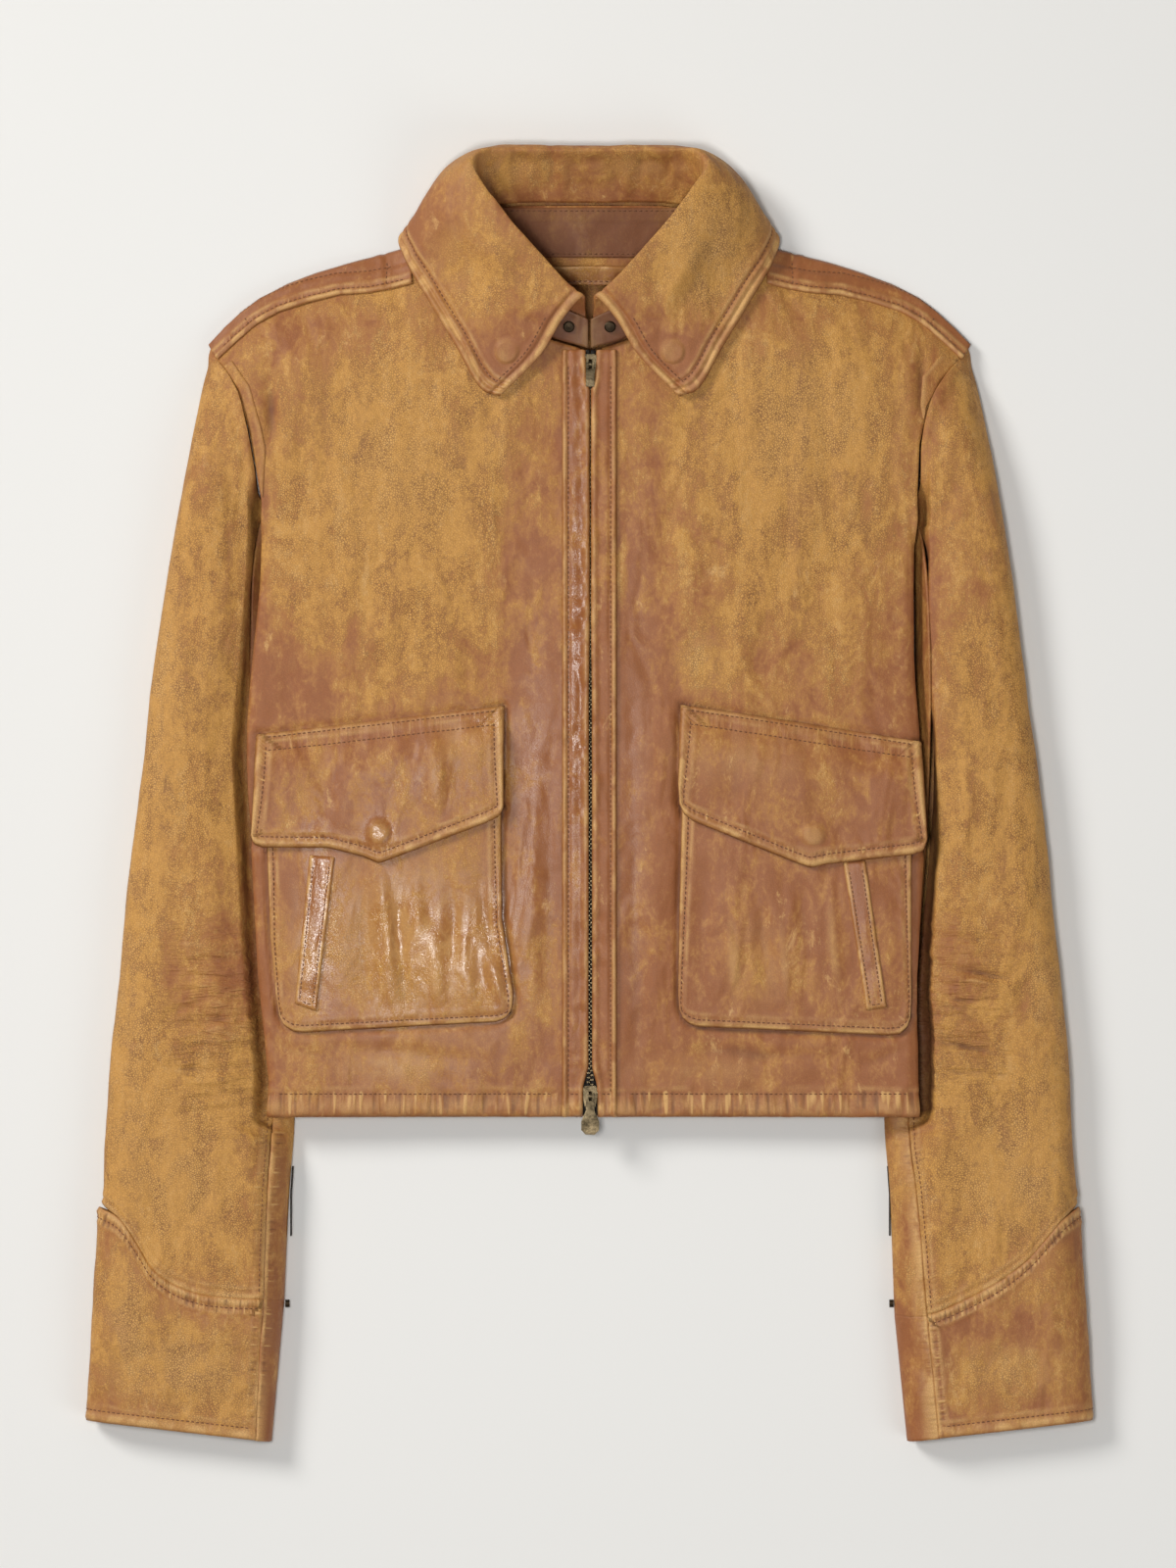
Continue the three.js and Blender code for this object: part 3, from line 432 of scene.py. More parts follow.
def cuff_plan(side):
    seam = cuff_seam_points(side, -SEAM_GAP - 0.2)
    seam[-1] = CUFF_TOP_OUTER
    return patch(
        outline([CUFF_END_INNER, CUFF_END_OUTER]),
        curve(seam),
        outline([CUFF_END_INNER, seam[0]]),
        outline([CUFF_END_OUTER, CUFF_TOP_OUTER]),
    )


ROUND_FROM = 0.72
INNER_ROUND = 0.07
SQUARENESS = 0.8
SLEEVE_SIDE_LEVEL = 0.42
ON_FLOOR = 0.6


def tube_piece(side, plan, where, count_along, seam_step):
    """Rows along a flattened tube. Where lists its section: flat runs, and angles round its edges."""
    v = np.linspace(0, 1, count_along)
    seam = along(side.sleeve_seam, plan(np.full(count_along, 0.1), v)[:, 1]) + seam_step
    columns = []
    for kind, amount in where:
        if kind == "round":
            angle = math.radians(amount)
            u = np.full(count_along, ROUND_FROM + (1 - ROUND_FROM) * math.cos(angle) ** SQUARENESS)
            p = plan(u, v)
            height = sleeve_height(side, p[:, 0], p[:, 1])
            level = SLEEVE_SIDE_LEVEL * height
            swing = math.copysign(abs(math.sin(angle)) ** SQUARENESS, angle)
            z = level + swing * (height - level if angle > 0 else level)
        elif kind == "inner":
            angle = math.radians(amount)
            p = plan(np.full(count_along, INNER_ROUND * (1 - math.cos(angle))), v)
            z = sleeve_height(side, p[:, 0], p[:, 1]) / 2 * (1 + math.sin(angle))
        else:
            u = seam if amount == "seam" else seam + (ROUND_FROM - seam) * amount
            u = u if kind == "top" else np.full(count_along, amount)
            p = plan(u, v)
            z = sleeve_height(side, p[:, 0], p[:, 1]) if kind != "under" else np.zeros(count_along)
        columns.append(np.column_stack([p, z]))
    return np.stack(columns, axis=1)


def top_section(flat, turns):
    run = [("top", t) for t in np.linspace(0, 1, flat)]
    return run + [("round", a) for a in np.linspace(74, -80, turns)]


def under_section():
    flat = [("under", u) for u in np.linspace(ROUND_FROM - 0.012, INNER_ROUND, 16)]
    edge = [("inner", a) for a in (-50, -25, 0, 25, 50)]
    return flat + edge + [("flat", INNER_ROUND), ("top", "seam")]


def on_leaf(x, y, lift):
    return [x, y, float(front_height(x, y)) + lift]


# Each station runs from the collar's edge over the roll to the neck seam.
COLLAR_STATIONS = [
    [on_leaf(50.4, 222.6, 3.4), on_leaf(27, 246, 6.6), [14.6, 266, 36], [3.2, 278, 38.4],
     [2.4, 272, 30], [2.2, 251.6, 23.8]],
    [on_leaf(60, 226, 3.4), on_leaf(42, 250, 7.4), [27, 273, 38.6], [15, 288.5, 40.4],
     [14.5, 279, 32], [22, 258.2, 23.6]],
    [on_leaf(75, 250.5, 3.8), on_leaf(58, 269, 8.4), [42, 290, 39.6], [29.8, 304.5, 41.6],
     [31, 293, 33.5], [42, 272, 23]],
    [on_leaf(89.4, 274.7, 3.8), on_leaf(74, 292, 10), [58, 310, 40], [44.8, 321.5, 42],
     [47, 310, 33], [60, 291, 20.4]],
    [[103.9, 300, 15], [91.5, 313, 26], [74, 329, 37], [57, 338.5, 40], [60, 326, 29],
     [70.5, 306.5, 15]],
    [[106.6, 312.6, 6.4], [97.5, 325, 17], [83.5, 342, 28], [65.5, 352.5, 35], [63, 342, 23],
     [73, 321.5, 9.6]],
    [[85, 318, 0], [91, 332, 4], [78, 353.5, 15], [60, 360.5, 27], [58, 350, 20], [62, 329.5, 6.8]],
    [[46, 315.5, 0], [50, 347, 0.4], [50, 363.8, 9], [44, 361.5, 23.6], [43, 353, 18],
     [41, 332.2, 6.2]],
    [[0, 314.5, 0], [0, 347, 0.4], [0, 364.4, 9], [0, 361.5, 22.4], [0, 353, 17], [0, 332.2, 6.2]],
]


def collar_rows(around, shares):
    """Rows round the neck, with points at shares of the way from the collar's edge to the neck seam."""
    stations = np.array(COLLAR_STATIONS)
    full = np.concatenate([stations * [-1, 1, 1], stations[-2::-1]])
    lines = [smooth_line(full[:, k], np.linspace(0, 1, around)) for k in range(full.shape[1])]
    rows = np.array([smooth_line([line[i] for line in lines], shares) for i in range(around)])
    rows[..., 1] = np.minimum(rows[..., 1], COLLAR_BACK_Y)
    rows[..., 2] = np.maximum(rows[..., 2], 0)
    return rows[::-1]


def swell(u, v):
    return np.sin(np.pi * np.clip(u, 0, 1)) ** 0.5 * np.sin(np.pi * np.clip(v, 0, 1)) ** 0.5


def pocket_plan(side):
    return patch(
        outline(side.pocket_bottom),
        outline([side.pocket_inner[0], side.pocket_outer[0]]),
        outline(side.pocket_inner[::-1]),
        outline(side.pocket_outer[::-1]),
    )


def pocket_height(x, y, u, v):
    return front_height(x, y) + SEAM_GAP + LEATHER + 2 * swell(u, v * 0.8)


def flap_plan(side):
    return patch(
        outline(side.flap_bottom),
        outline(side.flap_top),
        outline(side.flap_inner),
        outline(side.flap_outer),
    )


def flap_height(x, y, u, v):
    lift = lerp(6.9, SEAM_GAP + LEATHER, ease((v - 0.62) / 0.38))
    return front_height(x, y) + 1.2 * swell(u, v) + lift


EPAULETTE_ALONG = 110
EPAULETTE_ACROSS = 26


def epaulette_rows():
    """Rows along the shoulder strap, from its free edge over the seam to the fold."""
    lower = outline([[100, 286.6], [111.4, 284], [124, 281.8], [140.9, 280.8], [157.7, 276.8],
                     [174.6, 271.6], [187.3, 264.6], [197.2, 256.4], [209.6, 244.8]])
    seam = outline([[100.5, 305.8], *SHOULDER_SEAM[1:]])
    fold = outline([[101.5, 308.4], *SHOULDER_FOLD[1:]])
    s = np.linspace(0, 1, EPAULETTE_ALONG)
    a, b, c = lower(s), seam(s), fold(s)
    key = []
    for t in (0, 0.2, 0.4, 0.6, 0.75):
        p = lerp(a, b, t)
        key.append(np.column_stack([p, front_height(p[:, 0], p[:, 1]) + SEAM_GAP + LEATHER + 0.3]))
    key.append(np.column_stack([lerp(b, c, 0.65), front_height(b[:, 0], b[:, 1]) + 1.8]))
    key.append(np.column_stack([c, np.full(EPAULETTE_ALONG, 2.2)]))
    t = np.linspace(0, 1, EPAULETTE_ACROSS)
    return np.array([outline([k[i] for k in key])(t) for i in range(EPAULETTE_ALONG)])


# A cut piece of leather

LEFT_SEED = 3
RIGHT_SEED = 11
RUN_SHIFT = 500
FAR_FROM_SEAM = 9.0


def piece_name(*words):
    return "_".join(words)


class Cloth:
    """One cut piece. Its outer face is a grid drawn on the right side, and out is 1 where du x dv points out.

    Grown holds the grid's sides that run on past the drawn shape, each with its amount.
    """

    def __init__(self, rows, side=None, out=1, thickness=LEATHER, grown=()):
        for name, amount in grown:
            rows = grow(rows, name, amount)
        self.rows = rows
        self.side = side
        self.out = out
        self.thickness = thickness
        self.sides = side_distances(rows)
        self.x = rows[..., 0] * (side.sign if side else 1)
        self.y = rows[..., 1]
        self.seed = RIGHT_SEED if side and side.sign > 0 else LEFT_SEED
        self.relief = np.zeros(rows.shape[:2])
        self.tone = np.full(rows.shape[:2], 0.5)
        self.gloss = np.zeros(rows.shape[:2])
        self.wear = np.zeros(rows.shape[:2])
        self.gap = np.full(rows.shape[:2], FAR_FROM_SEAM)
        self.run = np.zeros(rows.shape[:2])
        self.ribbed = np.zeros(rows.shape[:2])
        self.crinkle = np.zeros(rows.shape[:2])
        self.threads = []

    def press(self, amount):
        self.relief = self.relief + amount

    def rumple(self, size, height, seed, stretch=1.0):
        """Hills and hollows, stretched along the garment."""
        self.press(height * lattice_noise(self.x, self.y / stretch, size, self.seed + seed))

    def sew(self, names, inset=6.5, ridge=0.6, pucker=0.35, trim=(4, 4), second=None, stop=(0, 0),
            ribs=(0.35, 1.25), rib=0.6, rib_pitch=2.0, row=True):
        """Folded and stitched sides: a rolled edge, a stitched groove and its ridge, puckers and fine ribs.

        Inset is the stitches' distance from the edge and second that of another row. Trim is where the
        stitches stop short of both ends, stop where the whole seam does, and ribs the band of fine ribs as
        shares of the way from the edge to the stitches. Rib is how strong they are, rib pitch how far apart.
        """
        names = (names,) if isinstance(names, str) else names
        runs = [self.sides["v0" if name[0] == "u" else "u0"] for name in names]
        distances = [self.sides[name] for name in names]
        nearest = np.argmin(distances, axis=0)
        d = np.min(distances, axis=0)
        s = np.choose(nearest, runs)
        kept = 1.0
        if any(stop):
            kept = ease((s - stop[0] + 6) / 6) * ease((runs[0].max() - stop[1] - s + 6) / 6)
        rolled = ridge * bump(d, 0.42 * inset, 0.36 * inset) - 0.5 * bump(d, 0, 0.9)
        stitched = 0.6 * ridge * bump(d, inset + 2.6, 1.8) - ridge * bump(d, inset, 1.1)
        fade = ease(d / 1.5) * (1 - ease((d - inset - 1) / 6))
        puckers = lattice_noise(s, d * 0.3, 6.5, self.seed + 5)
        puckers = puckers + 0.8 * lattice_noise(s, d * 0.4, 3.4, self.seed + 6)
        self.press(kept * (rolled + stitched + pucker * fade * puckers))
        paled = np.maximum(bump(d, 0.42 * inset, 0.4 * inset), 0.6 * bump(d, inset + 2.4, 1.2))
        self.wear = np.maximum(self.wear, kept * paled)
        gap = np.where(d < inset, d / inset, 1 + (d - inset) / 7)
        nearer = gap < self.gap
        self.gap, self.run = np.where(nearer, gap, self.gap), np.where(nearer, 2 * s / rib_pitch, self.run)
        low, high = ribs
        band = rib * kept * ease((gap - low + 0.15) / 0.3) * (1 - ease((gap - high) / 0.3))
        self.ribbed = np.maximum(self.ribbed, band)
        if row:
            trim = max(trim[0], stop[0]), max(trim[1], stop[1])
            self.threads += [(name, inset, STITCH_PITCH, trim) for name in names]
        if second:
            self.press(-0.6 * ridge * bump(d, second, 1.2) * ease((self.sides["u0"] - trim[0]) / 1.5)
                       * ease((self.sides["u1"] - trim[1]) / 1.5))
            self.threads += [(name, second, STITCH_PITCH, trim) for name in names]

    def formed(self):
        """The outer face with its relief."""
        return self.rows + normals_of(self.rows) * (self.out * self.relief)[..., None]

    def inset_line(self, name, inset, trim):
        """The line over the surface that runs inset from one side, with its outward directions."""
        rows = self.formed()
        outward = normals_of(rows) * self.out
        distance = self.sides[name]
        if name[0] == "u":
            rows, outward, distance = (np.swapaxes(a, 0, 1) for a in (rows, outward, distance))
        if name[1] == "1":
            rows, outward, distance = (a[:, ::-1] for a in (rows, outward, distance))

        def crossed(values):
            pairs = zip(distance, values)
            return np.array([[np.interp(inset, d, row[:, k]) for k in range(3)] for d, row in pairs])

        line, away = crossed(rows), crossed(outward)
        run = np.concatenate([[0], np.cumsum(np.linalg.norm(np.diff(line, axis=0), axis=1))])
        kept = (run >= trim[0]) & (run <= run[-1] - trim[1])
        return line[kept], away[kept]

    def mirror(self, points):
        return points * [self.side.sign, 1, 1] if self.side else points

    def build(self, name, look, slot, nodes=(), flat=True, held="laid", rests_on=("back",)):
        """Makes the mesh and its stitches, and hides the parts that the piece stands for."""
        rows = self.formed()
        run = self.run + RUN_SHIFT * (self.seed > LEFT_SEED)
        columns = [self.relief, self.tone, self.gloss, self.wear, self.gap, run, self.ribbed, self.crinkle]
        if self.side and self.side.sign < 0:
            rows = rows * [-1, 1, 1]
        if (self.out < 0) != bool(self.side and self.side.sign < 0):
            rows, columns = rows[::-1], [c[::-1] for c in columns]
        piece = wall(name, rows, self.thickness, columns)
        dress(piece, look, nodes or [name])
        if self.threads:
            lines = [self.inset_line(*thread[:2], thread[3]) for thread in self.threads]
            lines = [(self.mirror(a), self.mirror(b), t[2]) for (a, b), t in zip(lines, self.threads)]
            stitches(name + "_stitches", lines)
        if flat:
            across, up = self.sides["u0"].max() * MM, self.sides["v0"].max() * MM
            min(grid_area(self.rows), across * up)
        return piece


def grid_area(rows):
    """The area of a grid's faces in square metres."""
    across, up = np.diff(rows, axis=0)[:, :-1], np.diff(rows, axis=1)[:-1]
    return float(np.linalg.norm(np.cross(across, up), axis=-1).sum()) * MM * MM


# What the leather's material reads: relief in mm, whose troughs it paints with shade, brownness, shine,
# rubbing with painted sheen, distance to the nearest sewn side as a share of its stitch row's, distance along
# that side in steps of half a rib, ribs beside its stitches, and small wrinkles.
COLUMNS = ("relief", "tone", "gloss", "wear", "gap", "run", "ribbed", "crinkle")


RIM_SHARE = 0.22
RIM_MOST = 0.3


def wall(name, rows, thickness, columns):
    """A wall of even thickness with a rounded rim. Columns are the values of COLUMNS at its points."""
    nu, nv = rows.shape[:2]
    normal = normals_of(rows)
    inner = rows - normal * thickness
    index = np.arange(nu * nv).reshape(nu, nv)
    a, b, c, d = index[:-1, :-1], index[1:, :-1], index[1:, 1:], index[:-1, 1:]
    outside = np.stack([a, b, c, d], -1).reshape(-1, 4)
    inside = np.stack([a, d, c, b], -1).reshape(-1, 4) + nu * nv
    ring = np.concatenate([index[:, 0], index[-1, 1:], index[-2::-1, -1], index[0, -2:0:-1]])
    points = np.concatenate([rows.reshape(-1, 3), inner.reshape(-1, 3)])
    middle = (points[ring] + points[ring + nu * nv]) / 2
    out = middle - np.concatenate([rows[:, 1], rows[-2, 1:], rows[-2::-1, -2], rows[1, -2:0:-1]])
    out -= normal.reshape(-1, 3)[ring] * np.sum(out * normal.reshape(-1, 3)[ring], axis=1, keepdims=True)
    out /= np.maximum(np.linalg.norm(out, axis=1, keepdims=True), 1e-6)
    rim = np.arange(len(ring)) + 2 * nu * nv
    points = np.concatenate([points, middle + out * min(thickness * RIM_SHARE, RIM_MOST)])
    after = np.roll(np.arange(len(ring)), -1)
    faces = np.concatenate([
        outside, inside,
        np.stack([ring[after], ring, rim, rim[after]], -1),
        np.stack([rim[after], rim, ring + nu * nv, ring[after] + nu * nv], -1),
    ])
    mesh = bpy.data.meshes.new(name)
    mesh.from_pydata((points * MM).tolist(), [], faces.tolist())
    mesh.shade_smooth()
    for label, column in zip(COLUMNS, columns):
        values = np.concatenate([column.ravel(), column.ravel(), column.ravel()[ring]])
        mesh.attributes.new(label, "FLOAT", "POINT").data.foreach_set("value", values.astype(np.float32))
    piece = bpy.data.objects.new(name + "_cloth", mesh)
    bpy.context.scene.collection.objects.link(piece)
    return piece


def dress(piece, look, nodes):
    """Gives a piece its material and body, and hides the nodes that it stands for."""
    piece.data.materials.clear()
    piece.data.materials.append(look)
    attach(piece, "jacket")
    if nodes:
        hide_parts(*nodes)


STITCH_LENGTH = 2.1
STITCH_RADIUS = 0.3
STITCH_DIP = 0.2
STITCH_RISE = 0.12


def stitches(name, lines):
    """Short threads along lines, joined in one mesh.

    Each line has its points, outward directions and pitch.
    """
    turn = np.linspace(0, 2 * np.pi, 5)[:-1]
    points, faces = [], []
    for line, away, pitch in lines:
        if len(line) < 2:
            continue
        run = np.concatenate([[0], np.cumsum(np.linalg.norm(np.diff(line, axis=0), axis=1))])
        middles = np.arange(pitch / 2, run[-1] - pitch / 2, pitch)
        for s in middles:
            at = np.array([np.interp([s - STITCH_LENGTH / 2, s, s + STITCH_LENGTH / 2], run, line[:, k])
                           for k in range(3)]).T
            up = np.array([np.interp(s, run, away[:, k]) for k in range(3)])
            up /= np.linalg.norm(up)
            ahead = (at[2] - at[0]) / max(np.linalg.norm(at[2] - at[0]), 1e-6)
            wide = np.cross(ahead, up)
            first = len(points)
            points.append(at[0] - up * STITCH_DIP)
            for share in (-0.3, 0.3):
                centre = at[1] + ahead * share * STITCH_LENGTH + up * STITCH_RISE
                points.extend(centre + STITCH_RADIUS * (math.cos(t) * wide + math.sin(t) * up) for t in turn)
            points.append(at[2] - up * STITCH_DIP)
            for k in range(4):
                n = (k + 1) % 4
                faces.append((first, first + 1 + k, first + 1 + n))
                faces.append((first + 1 + k, first + 5 + k, first + 5 + n, first + 1 + n))
                faces.append((first + 9, first + 5 + n, first + 5 + k))
    mesh = bpy.data.meshes.new(name)
    mesh.from_pydata((np.array(points) * MM).tolist(), [], faces)
    mesh.shade_smooth()
    piece = bpy.data.objects.new(name, mesh)
    bpy.context.scene.collection.objects.link(piece)
    dress(piece, look_of("thread"), [])
    return piece


# Materials


class Nodes:
    """Adds nodes to a material and joins them."""

    def __init__(self, name):
        self.material = bpy.data.materials.new(name)
        self.material.use_nodes = True
        self.tree = self.material.node_tree
        self.shader = self.tree.nodes["Principled BSDF"]

    def add(self, kind, settings=None, **inputs):
        made = self.tree.nodes.new(kind)
        for label, value in (settings or {}).items():
            setattr(made, label, value)
        for label, value in inputs.items():
            self.put(made.inputs[label.replace("_", " ")], value)
        return made

    def put(self, socket, value):
        if isinstance(value, bpy.types.NodeSocket):
            self.tree.links.new(value, socket)
        else:
            socket.default_value = value

    def maths(self, operation, a, b=0.0, c=0.0):
        made = self.tree.nodes.new("ShaderNodeMath")
        made.operation = operation
        for socket, value in zip(made.inputs, (a, b, c)):
            self.put(socket, value)
        return made.outputs[0]

    def spread(self, value, low, high, to_low=0.0, to_high=1.0):
        """Maps low to high on to_low to to_high, with soft ends."""
        made = self.add("ShaderNodeMapRange", {"interpolation_type": "SMOOTHSTEP"}, Value=value)
        for label, number in (("From Min", low), ("From Max", high), ("To Min", to_low), ("To Max", to_high)):
            self.put(made.inputs[label], number)
        return made.outputs[0]

    def mix(self, share, a, b):
        made = self.tree.nodes.new("ShaderNodeMix")
        made.data_type = "RGBA"
        for socket, value in zip((made.inputs[0], made.inputs[6], made.inputs[7]), (share, a, b)):
            self.put(socket, value)
        return made.outputs[2]

    def attribute(self, name):
        return self.add("ShaderNodeAttribute", {"attribute_name": name}).outputs["Fac"]

    def place(self, scale=(1, 1, 1)):
        where = self.tree.nodes.new("ShaderNodeTexCoord").outputs["Object"]
        if scale == (1, 1, 1):
            return where
        return self.add("ShaderNodeMapping", Vector=where, Scale=scale).outputs[0]

    def noise(self, scale, detail=6.0, roughness=0.6, where=None, distortion=0.0):
        return self.add("ShaderNodeTexNoise", None, Vector=where or self.place(), Scale=scale, Detail=detail,
                        Roughness=roughness, Distortion=distortion).outputs["Fac"]


def rgb(colour):
    return (*colour, 1.0)


def leather(name, tone_shift, roughness, darken=0.0):
    """Worn leather: golden where it is rubbed and where sheen is painted, red brown in its depth, pale on
    rubbed ridges, with painted shade in grooves, creases and rib troughs.
    """
    colours = bpy.context.scene.jacket_colours
    m = Nodes(name)
    cloud = m.noise(20, 4, 0.6, distortion=0.6)
    blotch = m.noise(75, 5, 0.6, m.place((1, 0.6, 1)), 0.7)
    mottle = m.noise(230, 4, 0.7, m.place((1, 0.7, 1)), 0.8)
    streak = m.noise(90, 4, 0.6, m.place((1, 0.12, 1)))
    tone = m.maths("ADD", m.attribute("tone"), tone_shift)
    speck = m.noise(560, 2, 0.6, m.place((1, 0.7, 1)))
    for source, share in ((cloud, 1.5), (blotch, 1.7), (streak, 0.8), (mottle, 0.8), (speck, 0.4)):
        tone = m.maths("MULTIPLY_ADD", m.maths("SUBTRACT", source, 0.5), share, tone)
    tone = m.spread(tone, -0.05, 1.05)
    colour = m.mix(tone, rgb(colours.tan), rgb(colours.brown))
    grained = m.spread(m.maths("SUBTRACT", 1.0, tone), 0.2, 0.8, 0.3, 1.0)
    fleck = m.maths("MULTIPLY_ADD", streak, 0.35, m.maths("MULTIPLY", mottle, 0.4))
    fleck = m.maths("MULTIPLY_ADD", speck, 0.25, fleck)
    dark_fleck = m.maths("MULTIPLY", m.spread(fleck, 0.48, 0.64, 0.0, 0.28), grained)
    colour = m.mix(dark_fleck, colour, rgb(colours.dark_grain_and_shade))
    pale_fleck = m.maths("MULTIPLY", m.spread(fleck, 0.36, 0.50, 0.45, 0.0), grained)
    colour = m.mix(pale_fleck, colour, rgb(colours.worn))
    relief = m.attribute("relief")
    wrinkles = m.noise(1, 3, 0.55, m.place((55, 300, 150)), 1.1)
    wrinkles = m.maths("MULTIPLY", m.maths("SUBTRACT", wrinkles, 0.5), m.attribute("crinkle"))
    relief = m.maths("MULTIPLY_ADD", wrinkles, 5.0, relief)
    where = m.add("ShaderNodeCombineXYZ", None, X=m.maths("MULTIPLY", m.attribute("run"), 0.5),
                  Y=m.maths("MULTIPLY", m.attribute("gap"), 0.4)).outputs[0]
    ribs = m.maths("MULTIPLY", m.maths("MULTIPLY_ADD", m.noise(1.0, 1, 0.5, where), 4.0, -2.0),
                   m.attribute("ribbed"))
    worn = m.spread(m.maths("MULTIPLY_ADD", m.maths("SUBTRACT", blotch, 0.5), 2.0, relief), 0.5, 1.7, 0, 0.5)
    # Paler where the rubbing column says: rubbed leather, and in places painted sheen and painted light.
    paled = m.maths("MULTIPLY", m.attribute("wear"), m.spread(blotch, 0.42, 0.58, 0.25, 1.0))
    pale = m.maths("MAXIMUM", m.maths("MAXIMUM", worn, paled), m.spread(ribs, 0.05, 0.6, 0.0, 0.9))
    colour = m.mix(pale, colour, rgb(colours.worn))
    scuff = m.noise(60, 6, 0.78, m.place((1, 0.5, 1)), 0.4)
    colour = m.mix(m.spread(scuff, 0.60, 0.70, 0.0, 0.65), colour, rgb(colours.worn))
    # Painted shade: the dark grain-and-shade colour goes where the relief sinks into grooves, creases, dips
    # under raised edges and troughs between ribs.
    painted_groove_shade = m.maths("MAXIMUM", m.spread(relief, -2.8, -0.75, 0.7, 0.0), m.spread(ribs, -0.6, -0.05, 0.5, 0.0))
    colour = m.mix(painted_groove_shade, colour, rgb(colours.dark_grain_and_shade))
    cracks = m.add("ShaderNodeTexVoronoi", {"feature": "DISTANCE_TO_EDGE"}, Vector=m.place(), Scale=820.0,
                   Randomness=1.0).outputs["Distance"]
    pebble = m.spread(cracks, 0.0, 0.2)
    shade = m.maths("MULTIPLY", m.maths("SUBTRACT", 1.0, pebble), m.spread(blotch, 0.35, 0.65, 0.2, 0.7))
    colour = m.mix(m.maths("MULTIPLY", shade, grained), colour, rgb(colours.dark_grain_and_shade))
    # Darkens the whole look with the dark grain-and-shade colour; for the stands and the right side panel
    # this is painted shade.
    if darken:
        colour = m.mix(darken, colour, rgb(colours.dark_grain_and_shade))
    m.put(m.shader.inputs["Base Color"], colour)
    matt = m.maths("MULTIPLY_ADD", m.maths("SUBTRACT", blotch, 0.5), 0.3, roughness)
    matt = m.maths("SUBTRACT", matt, m.maths("MULTIPLY", tone, 0.08))
    matt = m.maths("SUBTRACT", matt, m.maths("MULTIPLY", m.attribute("gloss"), 0.38))
    m.put(m.shader.inputs["Roughness"], m.maths("MAXIMUM", matt, 0.2))
    m.shader.inputs["Specular IOR Level"].default_value = 0.48
    height = m.maths("MULTIPLY", m.maths("MULTIPLY", pebble, 0.10), grained)
    rough = m.maths("MULTIPLY_ADD", grained, 0.35, 0.1)
    height = m.maths("MULTIPLY_ADD", m.noise(150, 3, 0.6, distortion=0.6), rough, height)
    height = m.maths("MULTIPLY_ADD", m.noise(40, 2, 0.5, m.place((1, 0.5, 1)), 0.6), 4.2, height)
    height = m.maths("MULTIPLY_ADD", ribs, 0.34, height)
    height = m.maths("MULTIPLY_ADD", wrinkles, 2.2, height)
    bent = m.add("ShaderNodeBump", None, Height=height, Strength=0.8, Distance=0.0012)
    m.put(m.shader.inputs["Normal"], bent.outputs["Normal"])
    return m.material


FINE_GRAIN = 900.0
CLOUDED_GRAIN = 150.0


def plain(name, colour, roughness, metallic=0.0, depth=0.0002, mottle=0.25):
    """An even finish with a fine grain and small changes of colour."""
    m = Nodes(name)
    grain = m.noise(FINE_GRAIN, 5, 0.6)
    dark = rgb([c * (1 - mottle) for c in colour])
    clouded = m.spread(m.noise(CLOUDED_GRAIN), 0.3, 0.7)
    m.put(m.shader.inputs["Base Color"], m.mix(clouded, rgb(colour), dark))
    rough = m.maths("MULTIPLY_ADD", m.maths("SUBTRACT", grain, 0.5), 0.3, roughness)
    m.put(m.shader.inputs["Roughness"], rough)
    m.shader.inputs["Metallic"].default_value = metallic
    bent = m.add("ShaderNodeBump", None, Height=grain, Strength=0.5, Distance=depth)
    m.put(m.shader.inputs["Normal"], bent.outputs["Normal"])
    return m.material


LOOKS = {
    "tan_leather": lambda name: leather(name, 0.06, 0.68),
    "brown_leather": lambda name: leather(name, 0.12, 0.64),
    # Darkened: painted shade inside the collar, where the stands lie.
    "stand_leather": lambda name: leather(name, 0.1, 0.7, 0.78),
    "edge_leather": lambda name: leather(name, 0.12, 0.5),
    # Darkened: painted shadow for the right side panel.
    "seam_leather": lambda name: leather(name, 0.3, 0.6, 0.85),
    "inside_leather": lambda name: leather(name, 0.2, 0.75, 0.62),
    "zip_tape": lambda name: plain(name, (0.028, 0.022, 0.018), 0.85, depth=0.0003),
    "antique_brass": lambda name: plain(name, (0.11, 0.083, 0.047), 0.36, 1.0, mottle=0.75),
    # Darker brass: on the stand studs it paints the shade under the collar; the vent stops are dark metal.
    "dull_brass": lambda name: plain(name, (0.06, 0.042, 0.026), 0.5, 1.0, mottle=0.5),
    "thread": lambda name: plain(name, (0.21, 0.085, 0.034), 0.7),
}


def look_of(slot):
    """The look of a material slot, made when it is first asked for."""
    name = "worn_" + slot
    return bpy.data.materials.get(name) or LOOKS[slot](name)


# Where the leather is brown, and where it is polished

